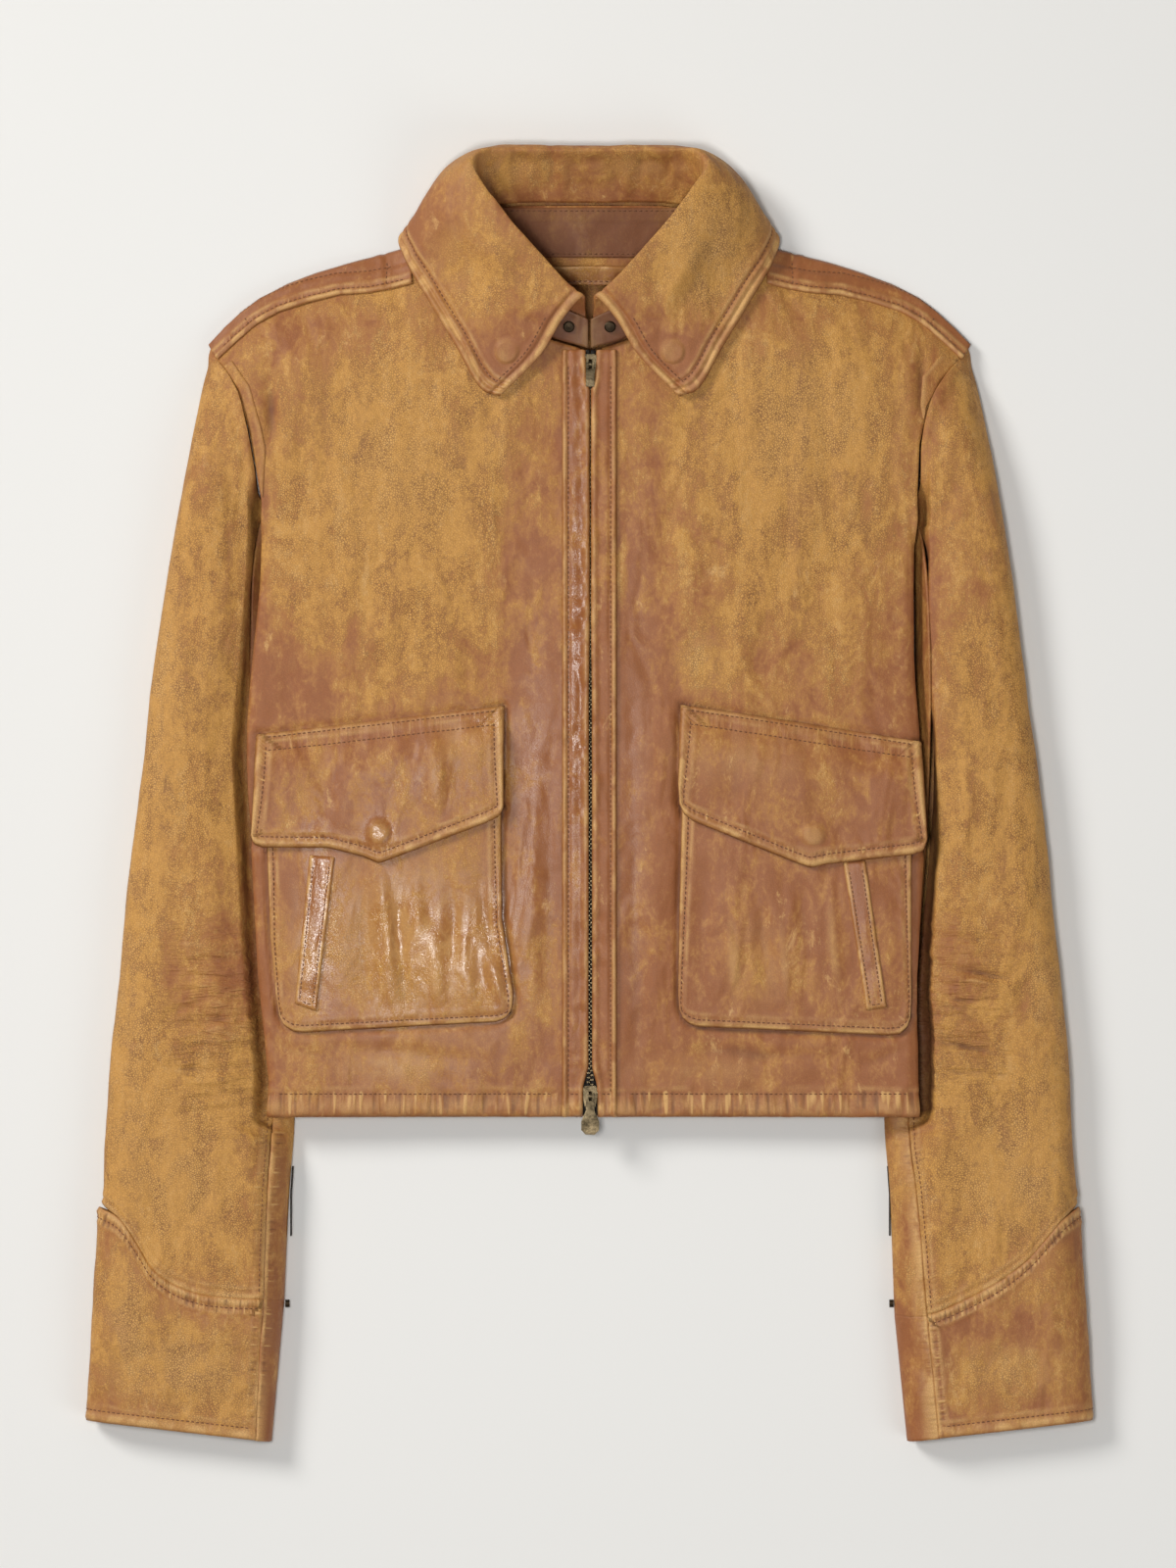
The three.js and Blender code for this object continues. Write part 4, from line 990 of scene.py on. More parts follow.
# Each spot is x, y, reach across, reach along and amount. In the stains an amount above 0 is browner and one
# below 0 more golden. In the others it is how polished, or how rubbed, the leather is; the rubbed spots also
# paint sheen and light in places.
# The browner spots at (-70, 262) and (74, 262), under the collar's leaves, and at (-160, 262) and (150, 268),
# on the shoulders, are painted shade; the rest are the leather's own tone.
STAINS_AND_SHADE = [
    (-112, 182, 62, 66, -0.42), (-62, 214, 30, 24, 0.1), (116, 208, 56, 60, -0.5), (96, 135, 45, 40, -0.2),
    (-26, 120, 24, 120, 0.62), (28, 130, 24, 110, 0.62), (64, 120, 26, 40, 0.2), (-168, 60, 30, 60, 0.16),
    (150, 90, 56, 44, 0.42), (-70, 262, 34, 24, 0.45), (74, 262, 34, 26, 0.45), (-160, 262, 44, 20, 0.46),
    (150, 268, 44, 16, 0.3), (45, 40, 30, 60, 0.12), (-110, 60, 60, 22, 0.12), (60, 75, 18, 14, -0.16),
    (-90, -155, 60, 14, -0.1), (100, -155, 60, 16, 0.1), (-172, 215, 18, 40, 0.3), (178, 215, 18, 44, 0.3),
]
SLEEVE_STAINS = [
    (-215, 120, 30, 70, -0.1), (-208, -112, 24, 40, 0.5), (-225, -230, 45, 30, -0.3),
    (-250, 0, 12, 160, -0.15), (-192, -60, 14, 60, 0.12), (212, 130, 30, 90, 0.34),
    (208, -104, 28, 44, 0.42), (232, -215, 40, 40, -0.28), (250, 20, 12, 160, -0.12),
    (-200, -270, 40, 14, 0.2), (205, -275, 40, 16, 0.22), (190, 40, 14, 120, 0.2),
]
CUFF_STAINS = [
    (-225, -322, 38, 22, -0.5), (-205, -292, 30, 8, 0.3), (210, -300, 30, 9, 0.3), (232, -322, 34, 14, -0.26),
    (-262, -275, 16, 26, -0.3), (266, -268, 14, 24, -0.2), (-200, -345, 20, 10, -0.2),
]
POCKET_STAINS = [
    (-100, -110, 30, 14, -0.12), (110, -105, 30, 18, -0.14), (-60, -60, 12, 30, -0.1),
]
FLAP_STAINS = [(-90, 15, 26, 14, -0.1), (100, 28, 30, 10, -0.12)]
# The golden spot at the back of the collar, (-40, 350), is also painted light on leather that lies in the
# collar's shade; the other spots are stains.
COLLAR_STAINS_AND_LIGHT = [
    (-75, 300, 26, 34, -0.2), (-46, 242, 34, 24, 0.85), (80, 325, 24, 28, -0.5), (50, 242, 28, 20, 0.75),
    (90, 276, 14, 30, 0.25), (-40, 350, 30, 14, -0.35), (30, 352, 30, 12, -0.05), (-98, 312, 12, 26, 0.35),
    (56, 300, 26, 30, -0.5), (-56, 290, 22, 24, -0.3), (0, 356, 10, 16, 0.3), (-84, 322, 14, 16, 0.3),
]
POLISH = [
    (-85, -90, 44, 40, 0.95), (-112, -85, 16, 44, 0.7), (-150, -75, 14, 50, 0.95), (-54, -90, 12, 38, 0.8),
    (-7, 90, 7, 170, 0.85), (-30, -10, 16, 110, 0.6), (-60, 40, 16, 8, 0.8), (-118, -22, 10, 10, 0.9),
    (-90, 10, 46, 24, 0.55), (-90, -158, 60, 14, 0.4), (24, -60, 8, 100, 0.4), (-48, 228, 14, 8, 0.5),
    (25, 60, 10, 120, 0.3), (-160, -20, 20, 20, 0.3),
]
# Pale spots: mostly rubbed leather, but painted sheen over the left pocket at (-95, -85), and painted light
# at the back of the collar near y 352, which lies in shade.
RUBBED_AND_SHEEN = [
    (-95, -85, 46, 46, 0.65), (-112, -153, 24, 8, 0.5), (-160, -100, 8, 30, 0.4), (96, -96, 14, 22, 0.3),
    (62, 74, 12, 14, 0.5), (-70, 30, 16, 14, 0.4), (90, 20, 34, 14, 0.3), (-225, -322, 34, 18, 0.45),
    (-262, -300, 12, 30, 0.4), (240, -322, 32, 13, 0.4), (-262, -90, 12, 130, 0.35),
    (262, -90, 12, 130, 0.35), (-232, -215, 28, 34, 0.35), (238, -215, 28, 34, 0.4), (-240, 80, 10, 110, 0.4),
    (-72, 306, 20, 26, 0.3), (66, 302, 24, 26, 0.4), (-112, 186, 44, 54, 0.25), (118, 205, 44, 50, 0.3),
    (-60, 352, 26, 10, 0.4), (30, 352, 30, 8, 0.3), (60, -156, 40, 8, 0.3),
]


def blobs(x, y, spots):
    total = np.zeros(np.shape(x))
    for cx, cy, reach_x, reach_y, amount in spots:
        total += amount * np.exp(-(((x - cx) / reach_x) ** 2) - (((y - cy) / reach_y) ** 2))
    return total


def stain(cloth, base, spots):
    """Browner where it is said to be, in some spots as painted shade, and beside the piece's seams; rubbed,
    with painted sheen and painted light in some spots, and polished in places.
    """
    beside_seam = np.min([cloth.sides[name] for name in ("u0", "u1", "v0", "v1")], axis=0)
    cloth.tone = base + blobs(cloth.x, cloth.y, spots) + 0.24 * np.exp(-((beside_seam / 11) ** 2))
    cloth.gloss = np.clip(blobs(cloth.x, cloth.y, POLISH), 0, 1)
    cloth.wear = np.maximum(cloth.wear, blobs(cloth.x, cloth.y, RUBBED_AND_SHEEN))


# Creases, as x0, y0, x1, y1, half width and height

FRONT_CREASES = [
    (-179, 231, -179, 196, 3.5, -1.6), (-170, 224, -166, 178, 5, 0.6), (187, 252, 186, 208, 3.2, -1.6),
    (-22, 40, -24, -150, 5, -0.7), (-33, -10, -31, -140, 5, 0.6), (24, 60, 26, -150, 5, -0.7),
    (36, -20, 38, -140, 5, 0.5), (-150, -142, -60, -150, 4, -0.8), (60, -144, 150, -150, 4, -0.8),
    (-120, 80, -112, 54, 6, -0.5), (-70, 84, -66, 58, 6, -0.5), (90, 90, 98, 58, 6, -0.5),
    (130, 240, 140, 120, 5, -0.5), (118, 250, 122, 160, 5, 0.4), (150, 200, 160, 90, 6, -0.5),
    (-140, 240, -128, 160, 6, -0.4), (-40, 215, -34, 120, 6, -0.4), (46, 200, 42, 100, 6, -0.4),
    (-178, -140, -140, -152, 4, -0.9), (178, -142, 150, -156, 4, -0.9),
]
SLEEVE_CREASES = [
    (-188, -78, -216, -82, 2, -0.5), (-190, -90, -226, -96, 2, -0.8), (-186, -104, -236, -103, 2.2, -1.3),
    (-188, -108, -232, -110, 2.2, 0.8), (-206, -113, -240, -126, 2, -1), (-184, -124, -228, -131, 2.4, -1.4),
    (-190, -129, -240, -140, 2.4, 0.9), (-186, -139, -226, -144, 2, -1), (-200, -148, -242, -156, 2, -1.1),
    (-185, -154, -232, -157, 2.2, -1.1), (-188, -160, -228, -163, 2.2, 0.7), (-184, -166, -224, -172, 2, -1),
    (-190, -176, -236, -180, 2.2, -0.8), (-190, -192, -214, -196, 2, -0.4), (-262, -104, -240, -116, 2, -0.5),
    (-262, -136, -244, -146, 2, -0.5), (195, -66, 228, -69, 2.0, -0.7), (191, -79, 236, -84, 2.3, -1.2),
    (196, -85, 240, -90, 2.3, 0.8), (190, -94, 238, -104, 2.4, -1.4), (194, -101, 244, -112, 2.3, 0.8),
    (192, -112, 226, -117, 2.0, -0.9), (191, -124, 238, -131, 2.2, -1.0), (196, -130, 232, -135, 2.2, 0.6),
    (191, -138, 236, -147, 2.3, -1.2), (194, -155, 230, -159, 2.0, -0.7), (194, -170, 222, -173, 2.0, -0.5),
    (262, -96, 244, -106, 2, -0.5), (264, -130, 246, -138, 2, -0.5), (-212, 210, -196, 160, 5, -0.7),
    (212, 205, 200, 150, 5, -0.7),
]
POCKET_CREASES = [
    (-130, -44, -127, -118, 4.2, -0.9), (-118, -40, -110, -112, 4.6, 1.3), (-108, -66, -103, -126, 3.4, -1.2),
    (-99, -42, -95, -96, 5.2, 0.9), (-88, -76, -84, -124, 5.0, 1.1), (-78, -48, -76, -92, 4.0, -0.9),
    (-70, -84, -66, -122, 4.6, 1.2), (-62, -50, -52, -96, 3.6, -1.0), (-56, -92, -49, -120, 3.4, 1.2),
    (-92, -58, -88, -74, 4, -0.6), (66, -46, 62, -112, 5, -0.9), (80, -66, 82, -122, 4.6, 0.9),
    (94, -46, 99, -100, 4.2, -1.1), (107, -70, 112, -124, 4.2, 0.9), (119, -48, 123, -112, 4.4, -0.9),
    (134, -52, 140, -116, 3.8, 0.8),
]
FLAP_CREASES = [
    (-76, 36, -72, -10, 5, -0.8), (-90, 38, -84, -16, 5, 0.8), (-150, 30, -146, -24, 6, -0.6),
    (-64, 34, -60, -6, 4, 0.6), (-130, 26, -138, -18, 5, 0.5), (70, 34, 66, -6, 5, 0.5),
    (84, 36, 82, -12, 5, -0.7), (150, 30, 152, -24, 7, -0.5), (-112, 4, -126, 2, 4, -0.4),
]
COLLAR_CREASES = [
    (-88, 314, -72, 274, 6, -0.6), (-60, 318, -46, 280, 6, 0.5), (70, 300, 48, 268, 5, -0.9),
    (62, 306, 40, 272, 4, 0.7), (80, 306, 64, 290, 4, 0.5), (-22, 362, -20, 336, 3, -1),
    (-34, 358, -32, 338, 4, 0.5), (-60, 356, -54, 338, 3, -1), (12, 360, 14, 338, 4, -0.6),
    (30, 362, 26, 336, 3, -0.8), (46, 358, 42, 340, 3, -0.6), (-44, 360, -28, 350, 3, -0.6),
    (-40, 268, -28, 262, 3, -0.6), (40, 262, 28, 268, 3, -0.6),
]
ELBOW_Y = -128
ELBOW_REACH = 62


def sizes():
    return bpy.context.scene.jacket_sizes


def fold(cloth, lines, depth=1.0):
    cloth.press(sizes().crease_depth * depth * creases(cloth.x, cloth.y, lines))


def crumple(cloth, broad=0.7, small=0.28):
    """Even, soft unevenness of worn leather."""
    cloth.rumple(46, broad, 21, 1.4)
    cloth.rumple(19, small, 22, 1.3)
    cloth.rumple(8, 0.4 * small, 23)


SNAP_RADIUS = 7.2


def under_snap(cloth, x, y, radius, height):
    """The round bump of a snap under the leather."""
    distance = np.hypot(cloth.x - x, cloth.y - y)
    dome = 1 - ease((distance - radius * 0.72) / (radius * 0.36))
    cloth.press(height * dome - 0.4 * bump(distance, radius, 1.1))
    cloth.wear = np.maximum(cloth.wear, 0.3 * bump(distance, radius * 0.8, 1.6))


def piece_on_front(side, plan, height, across, up, thickness=LEATHER, grown=()):
    points, u, v = flat_grid(plan, across, up)
    return Cloth(with_height(points, height(points[..., 0], points[..., 1], u, v)), side, 1, thickness, grown)


def make_back():
    back = Cloth(back_rows())
    back.press(-0.25 * (1 + lattice_noise(back.x, back.y, 34, 8)))
    stain(back, 0.5 + 0.35 * ease((60 - back.y) / 200), [])
    back.sew("v0", 13, 0.3, 0.3)
    back.relief = np.minimum(back.relief, 0)
    back.build("back", look_of("tan_leather"), "tan_leather", rests_on=())


def make_fronts():
    for side in SIDES:
        front = piece_on_front(side, front_plan(side), lambda x, y, u, v, s=side: front_bent(s, x, y),
                               96, 204)
        crumple(front)
        fold(front, FRONT_CREASES, 1.4)
        front.press(0.22 * lattice_noise(front.x, front.y / 4, 7, front.seed + 4))
        hem = front.sides["v0"]
        front.sew("v0", 13, 0.5, 0.6, trim=(14, 3), ribs=(0.08, 1.02), rib=0.75, rib_pitch=3.4)
        front.press(0.35 * bump(hem, 4, 4))
        front.wear = front.wear * np.where(hem < 16, 0.5, 1)
        # Sinks the front along the flaps' and pockets' edges; the dip takes the dark groove colour, a painted
        # shadow under those edges.
        for rim in (side.flap_bottom, side.flap_inner, side.flap_outer, side.flap_top, side.pocket_inner,
                    side.pocket_bottom, side.pocket_outer):
            front.press(-1.7 * bump(off_line(front.rows, rim), 0, 1.8) * (front.relief > -1.6))
        at_neck = bump(front.sides["v1"], 0, 8) * (front.y > 240)
        front.press(-0.3 * at_neck)
        base = 0.20 + 0.54 * ease((96 - front.y) / 96)
        base = base + 0.12 * ease((np.abs(front.x) - 150) / 30) * ease((150 - front.y) / 60)
        stain(front, base, STAINS_AND_SHADE)
        front.build(piece_name("front", side.name), look_of("tan_leather"), "tan_leather")


def make_sides():
    for side in SIDES:
        panel = Cloth(side_rows(side), side, -1)
        panel.rumple(26, 0.35, 4)
        panel.press(0.3 * lattice_noise(panel.y, panel.y * 0, 7, panel.seed) * bump(panel.sides["v0"], 12, 7))
        stain(panel, 0.5 + 0.3 * ease((96 - panel.y) / 96), [])
        # The right side panel gets a darkened look: painted shadow in the gap between the body and the right
        # sleeve.
        look = look_of("tan_leather" if side.sign < 0 else "seam_leather")
        panel.build(piece_name("side", side.name), look, "brown_leather")


def make_sleeves():
    for side in SIDES:
        plan = sleeve_plan(side)
        top = Cloth(tube_piece(side, plan, top_section(52, 20), 380, 0), side, -1,
                    grown=[("u0", 0.9), ("u1", 0.9), ("v0", 1.0)])
        crumple(top, 0.8, 0.3)
        fold(top, SLEEVE_CREASES, 1.05)
        elbow = np.exp(-(((top.y - ELBOW_Y) / ELBOW_REACH) ** 2)) * ease((256 - np.abs(top.x)) / 36)
        slant = top.y + 0.14 * np.abs(top.x)
        top.press(0.5 * elbow * lattice_noise(top.x * 0.22, slant, 4.2, top.seed + 1))
        top.press(0.3 * elbow * lattice_noise(top.x * 0.3, slant, 2.6, top.seed + 2))
        top.crinkle = 0.85 * elbow
        outer = ease((np.abs(top.x) - 222) / 30)
        top.press(0.25 * outer * lattice_noise(top.x, top.y * 0.3, 6, top.seed + 3))
        top.sew("u0", 4.5, 0.4, 0.6, stop=(2, 6), ribs=(0.2, 1.1), rib=0.3, row=False)
        top.press(-0.4 * bump(top.sides["u0"], 0, 2))
        top.sew("v0", 3.2, 0.35, 0.3, trim=(4, 4), stop=(0, 336), ribs=(0.3, 1.6), rib=0.4)
        # The sleeve sinks beside the body, deepest on the right; the dip casts real shade and also takes the
        # dark groove colour, a painted shadow in the gap between body and sleeve.
        beside_body = ease((along(side.fold, top.y) + 10 - top.rows[..., 0]) / 8) * ease((top.y + 186) / 10)
        beside_body = beside_body * ease((150 - top.y) / 20)
        top.press((-0.5 - 3.0 * side.shadow_dip) * beside_body)
        arm_end = top.sides["u1"]
        top.press(0.5 * bump(arm_end, 5, 4) - 0.5 * bump(arm_end, 12, 6))
        # Browner towards the body's side: painted shade beside the body.
        stain(top, 0.07 + 0.14 * ease((204 - np.abs(top.x)) / 18), SLEEVE_STAINS)
        name = piece_name("sleeve_top", side.name)
        top.build(name, look_of("tan_leather"), "tan_leather", rests_on=())
        under = Cloth(tube_piece(side, plan, under_section(), 150, -0.015), side, -1,
                      grown=[("u0", 0.8), ("v1", 1.2)])
        under.sew("v1", 3, 0.35, 0.3, stop=(0, 336), row=False)
        under.relief = under.relief * np.where(under.rows[..., 2] < ON_FLOOR, 0, 1)
        stain(under, 0.45, [])
        under.build(piece_name("sleeve_under", side.name), look_of("tan_leather"), "tan_leather", rests_on=())


def make_cuffs():
    for side in SIDES:
        plan = cuff_plan(side)
        top = Cloth(tube_piece(side, plan, top_section(46, 20), 60, 0), side, -1,
                    grown=[("u1", 0.5), ("v0", 1.0)])
        top.rumple(24, 0.45, 9)
        top.rumple(9, 0.2, 10)
        top.sew("u0", 6.5, 0.25, 0.25, trim=(4, 8), ribs=(0.7, 1.05), rib=0.3)
        top.sew("u1", 5.6, 0.6, 0.55, trim=(3, 10), ribs=(0.1, 1.3), rib=0.8)
        top.sew("v0", 3.2, 0.35, 0.3, trim=(6, 6), row=False)
        stain(top, 0.42 + 0.13 * side.sign, CUFF_STAINS)
        top.build(piece_name("cuff_top", side.name), look_of("brown_leather"), "brown_leather", rests_on=())
        under = Cloth(tube_piece(side, plan, under_section(), 48, -0.015), side, -1, grown=[("v1", 1.2)])
        under.sew("v1", 3, 0.3, 0.25, row=False)
        under.relief = under.relief * np.where(under.rows[..., 2] < ON_FLOOR, 0, 1)
        stain(under, 0.62, [])
        under.build(piece_name("cuff_under", side.name), look_of("brown_leather"), "brown_leather",
                    rests_on=())


PLACKET_OUTER_X = 15.4


def make_plackets():
    for side in SIDES:
        y = np.linspace(HEM_Y, NECK_FRONT_Y - 1, 250)
        x = np.array([lerp(along(side.placket_edge, y), PLACKET_OUTER_X, u) for u in np.linspace(0, 1, 16)])
        y = np.broadcast_to(y, x.shape)
        placket = Cloth(np.dstack([x, y, front_height(x, y) + SEAM_GAP + LEATHER]), side)
        outer, edge = placket.sides["u1"], placket.sides["u0"]
        placket.press(-0.8 * bump(outer, 3.5, 1.0) + 0.7 * bump(outer, 1.5, 1.3) - 1.1 * bump(outer, 0, 0.7))
        placket.press(0.6 * bump(edge, 1.8, 1.6) - 0.7 * bump(edge, 0, 0.8) - 0.35 * bump(edge, 5, 2))
        scallop = lattice_noise(placket.x * 0.1, placket.y, 6.5, placket.seed)
        placket.press(0.7 * scallop * bump(edge, 2, 3) + 0.35 * scallop * ease(outer / 4))
        placket.press(0.2 * lattice_noise(placket.x * 0.3, placket.y, 3.5, placket.seed + 1))
        placket.threads.append(("u1", 3.5, STITCH_PITCH, (14, 6)))
        placket.wear = np.maximum(0.8 * bump(outer, 1.5, 1.2), (0.6 + 0.4 * scallop) * bump(edge, 1.4, 1.5))
        placket.sew("v0", 13, 0.4, 0.5, trim=(2, 3), ribs=(0.1, 1.0), rib=0.6, rib_pitch=3.4)
        stain(placket, 0.66 + 0.08 * ease((100 - placket.y) / 80), [])
        name = piece_name("placket", side.name)
        placket.build(name, look_of("brown_leather"), "brown_leather",
                      rests_on=[piece_name("front", side.name)])


def make_pockets():
    for side in SIDES:
        pocket = piece_on_front(side, pocket_plan(side), pocket_height, 72, 76)
        pocket.rumple(30, 0.5, 31, 1.5)
        pocket.rumple(11, 0.2, 32, 1.4)
        fold(pocket, POCKET_CREASES, 1.35)
        pocket.sew(("v0", "u0", "u1"), 4.4, 0.65, 0.14, trim=(4.4, 4.4), ribs=(0.8, 1.15), rib=0.4)
        rim = np.minimum(np.minimum(pocket.sides["u0"], pocket.sides["u1"]), pocket.sides["v0"])
        pocket.press(-1.3 * bump(rim, 0, 1.2))
        stain(pocket, 0.64 + 0.06 * side.sign, POCKET_STAINS)
        name = piece_name("pocket", side.name)
        pocket.build(name, look_of("brown_leather"), "brown_leather",
                     rests_on=[piece_name("front", side.name)])
        make_flap(side)
        make_welt(side)


def make_flap(side):
    flap = piece_on_front(side, flap_plan(side), flap_height, 74, 42, FLAP_LEATHER)
    flap.rumple(28, 0.5, 41)
    flap.rumple(10, 0.2, 42)
    fold(flap, FLAP_CREASES, 1.3)
    flap.sew(("v0", "u0", "u1"), 6.2, 0.8, 0.16, trim=(6.2, 6.2), ribs=(0.6, 1.15), rib=0.5)
    flap.sew("v1", 2.4, 0.35, 0.16, trim=(6.2, 6.2), second=10.2, ribs=(0.4, 2.0), rib=0.3)
    rim = np.minimum(np.minimum(flap.sides["u0"], flap.sides["u1"]), flap.sides["v0"])
    flap.press(-0.9 * bump(rim, 0, 1.0))
    under_snap(flap, side.sign * side.snap[0], side.snap[1], SNAP_RADIUS, 1.3)
    stain(flap, 0.57 + 0.05 * side.sign, FLAP_STAINS)
    name = piece_name("flap", side.name)
    flap.build(name, look_of("brown_leather"), "brown_leather", [name, piece_name("flap_snap", side.name)],
               rests_on=[piece_name("pocket", side.name)])


POCKET_INNER_X = 50
POCKET_WIDTH = 130
POCKET_LOW_Y = -131
POCKET_LENGTH = 141


def make_welt(side):
    top_outer, top_inner, bottom_inner, bottom_outer = (np.array(p) for p in side.welt)
    u, v = np.meshgrid(np.linspace(0, 1, 12), np.linspace(0, 1, 50), indexing="ij")
    u, v = u[..., None], v[..., None]
    plan = lerp(lerp(bottom_inner, bottom_outer, u), lerp(top_inner, top_outer, u), v)
    x, y = plan[..., 0], plan[..., 1]
    across, up = (x - POCKET_INNER_X) / POCKET_WIDTH, (y - POCKET_LOW_Y) / POCKET_LENGTH
    height = pocket_height(x, y, across, up) + WELT_THICKNESS + 0.3
    welt = Cloth(with_height(plan, height), side, 1, WELT_THICKNESS)
    for name in ("u0", "u1", "v0"):
        d = welt.sides[name]
        welt.press(-0.6 * bump(d, 0, 0.8) + 0.35 * bump(d, 1.2, 1.0) - 0.35 * bump(d, 2.6, 0.8))
        welt.wear = np.maximum(welt.wear, bump(d, 1, 1.2))
        welt.threads.append((name, 2.6, 2.6, (3, 3)))
    welt.press(0.2 * lattice_noise(welt.x, welt.y, 8, welt.seed))
    stain(welt, 0.58, [])
    welt.build(piece_name("welt", side.name), look_of("edge_leather"), "edge_leather",
               rests_on=[piece_name("pocket", side.name)])


def make_shoulders():
    for side in SIDES:
        strap = Cloth(epaulette_rows(), side)
        strap.rumple(20, 0.3, 51)
        strap.sew("v0", 3.6, 0.5, 0.14, trim=(4, 4), ribs=(0.8, 1.2), rib=0.3)
        strap.press(-0.8 * bump(strap.sides["v0"], 0, 1.2))
        strap.press(0.35 * bump(strap.sides["v0"], 11, 2.2) - 0.4 * bump(strap.sides["v0"], 14, 1.3))
        strap.threads.append(("v0", 14, STITCH_PITCH, (12, 20)))
        inner = strap.sides["u0"]
        strap.press(-0.35 * bump(inner, 15, 1.3) + 0.3 * bump(inner, 18.5, 2))
        strap.threads.append(("u0", 15, 3.0, (3, 6)))
        strap.threads.append(("u1", 26, 3.0, (3, 6)))
        stain(strap, 0.86, [(-150, 285, 40, 12, -0.1)])
        name = piece_name("epaulette", side.name)
        strap.build(name, look_of("brown_leather"), "brown_leather",
                    rests_on=[piece_name("front", side.name)])
        line = outline([[x - 1.2, y] for x, y in side.armhole])
        t = np.linspace(side.band_from, 0.97, 60)
        u = np.linspace(1, 0, 8)[:, None, None]
        wide = side.band_width * np.minimum(1, (t - side.band_from + 0.01) / 0.3)[None, :, None]
        plan = line(t)[None] + u * wide * [-1, 0.25]
        height = front_height(plan[..., 0], plan[..., 1]) + SEAM_GAP + BAND_LEATHER
        band = Cloth(with_height(plan, height), side, 1, BAND_LEATHER)
        band.press(0.25 * bump(band.sides["u0"], 1.6, 1.4) - 0.9)
        band.press(0.3 * lattice_noise(band.x * 0.2, band.y, 7, 5))
        band.wear = 0.5 * bump(band.sides["u0"], 1.2, 1.4)
        stain(band, 0.22, [])
        band.build(piece_name("armhole_band", side.name), look_of("tan_leather"), "edge_leather", flat=False)


COLLAR_AROUND = 337
COLLAR_OVER = 81
CLOSE_TO_EDGE = np.concatenate([np.linspace(0, 0.16, 28), np.linspace(0.16, 1, 62)[1:]])


def make_collar():
    rows = collar_rows(COLLAR_AROUND, CLOSE_TO_EDGE)
    collar = Cloth(rows, None, 1, COLLAR_LEATHER)
    over = collar.sides["v0"]
    collar.rumple(26, 0.5, 61)
    collar.rumple(10, 0.22, 62)
    fold(collar, COLLAR_CREASES, 1.5)
    collar.sew("v0", 8.6, 0.2, 0.16, trim=(9, 9), ribs=(0.7, 1.1), rib=0.25)
    collar.press(0.75 * bump(over, 1.9, 1.5) - 0.85 * bump(over, 4.3, 0.9) + 0.6 * bump(over, 6.4, 1.5))
    collar.press(-0.45 * bump(over, 8.7, 1.0) + 0.3 * bump(over, 11.5, 2))
    for name in ("u0", "u1"):
        on_fall = 1 - ease((over - 66) / 20)
        d = collar.sides[name]
        collar.press(on_fall * (0.8 * bump(d, 2.4, 2.0) - 0.8 * bump(d, 5.2, 1.1) + 0.4 * bump(d, 7.6, 1.8)))
        collar.wear = np.maximum(collar.wear, on_fall * bump(d, 2.4, 2.0))
        collar.threads.append((name, 8.6, STITCH_PITCH, (8.6, 56)))
    for x in (-46.5, 46.5):
        under_snap(collar, x, 247.5, SNAP_RADIUS, 1.0)
    inside = ease((over - 62) / 14)
    collar.press(0.4 * inside * lattice_noise(collar.x, collar.y * 0.2, 9, 63))
    stain(collar, 0.48 + 0.25 * bump(over, 3, 9), COLLAR_STAINS_AND_LIGHT)
    collar.relief = np.where(rows[..., 2] < 0.5, np.minimum(collar.relief, 0), collar.relief)
    collar.build("collar", look_of("tan_leather"), "tan_leather",
                 ["collar", "collar_snap_left", "collar_snap_right"], held="folded")
    make_stands(collar_rows(COLLAR_AROUND, np.linspace(0, 1, COLLAR_OVER)))


def make_stands(rows):
    """The stand backs the collar's inner wall from the front end, under the fall."""
    normal = normals_of(rows)
    depth = COLLAR_LEATHER + SEAM_GAP + STAND_LEATHER
    step_over, step_around = (COLLAR_OVER - 1) / 10, (COLLAR_AROUND - 1) // 28
    length = 8 * step_around + 1
    down = np.linspace(10, 8.5, 14) * step_over
    low = np.floor(down).astype(int)
    high = np.minimum(low + 1, COLLAR_OVER - 1)
    backed = rows - normal * depth
    grid = lerp(backed[:length, low], backed[:length, high], (down - low)[None, :, None]).swapaxes(0, 1)
    for side in SIDES:
        stand = Cloth(grid, side, 1, STAND_LEATHER, [("v0", 1.7)])
        stand.press(0.5 * lattice_noise(stand.x * 1.4, stand.y * 0.3, 5, 71) * bump(stand.sides["v0"], 4, 12))
        stand.wear = bump(stand.sides["v0"], 1, 6)
        stain(stand, 0.6, [])
        # The stands' darker look paints the shade under the collar.
        stand.build(piece_name("collar_stand", side.name), look_of("stand_leather"), "brown_leather",
                    rests_on=["collar"])


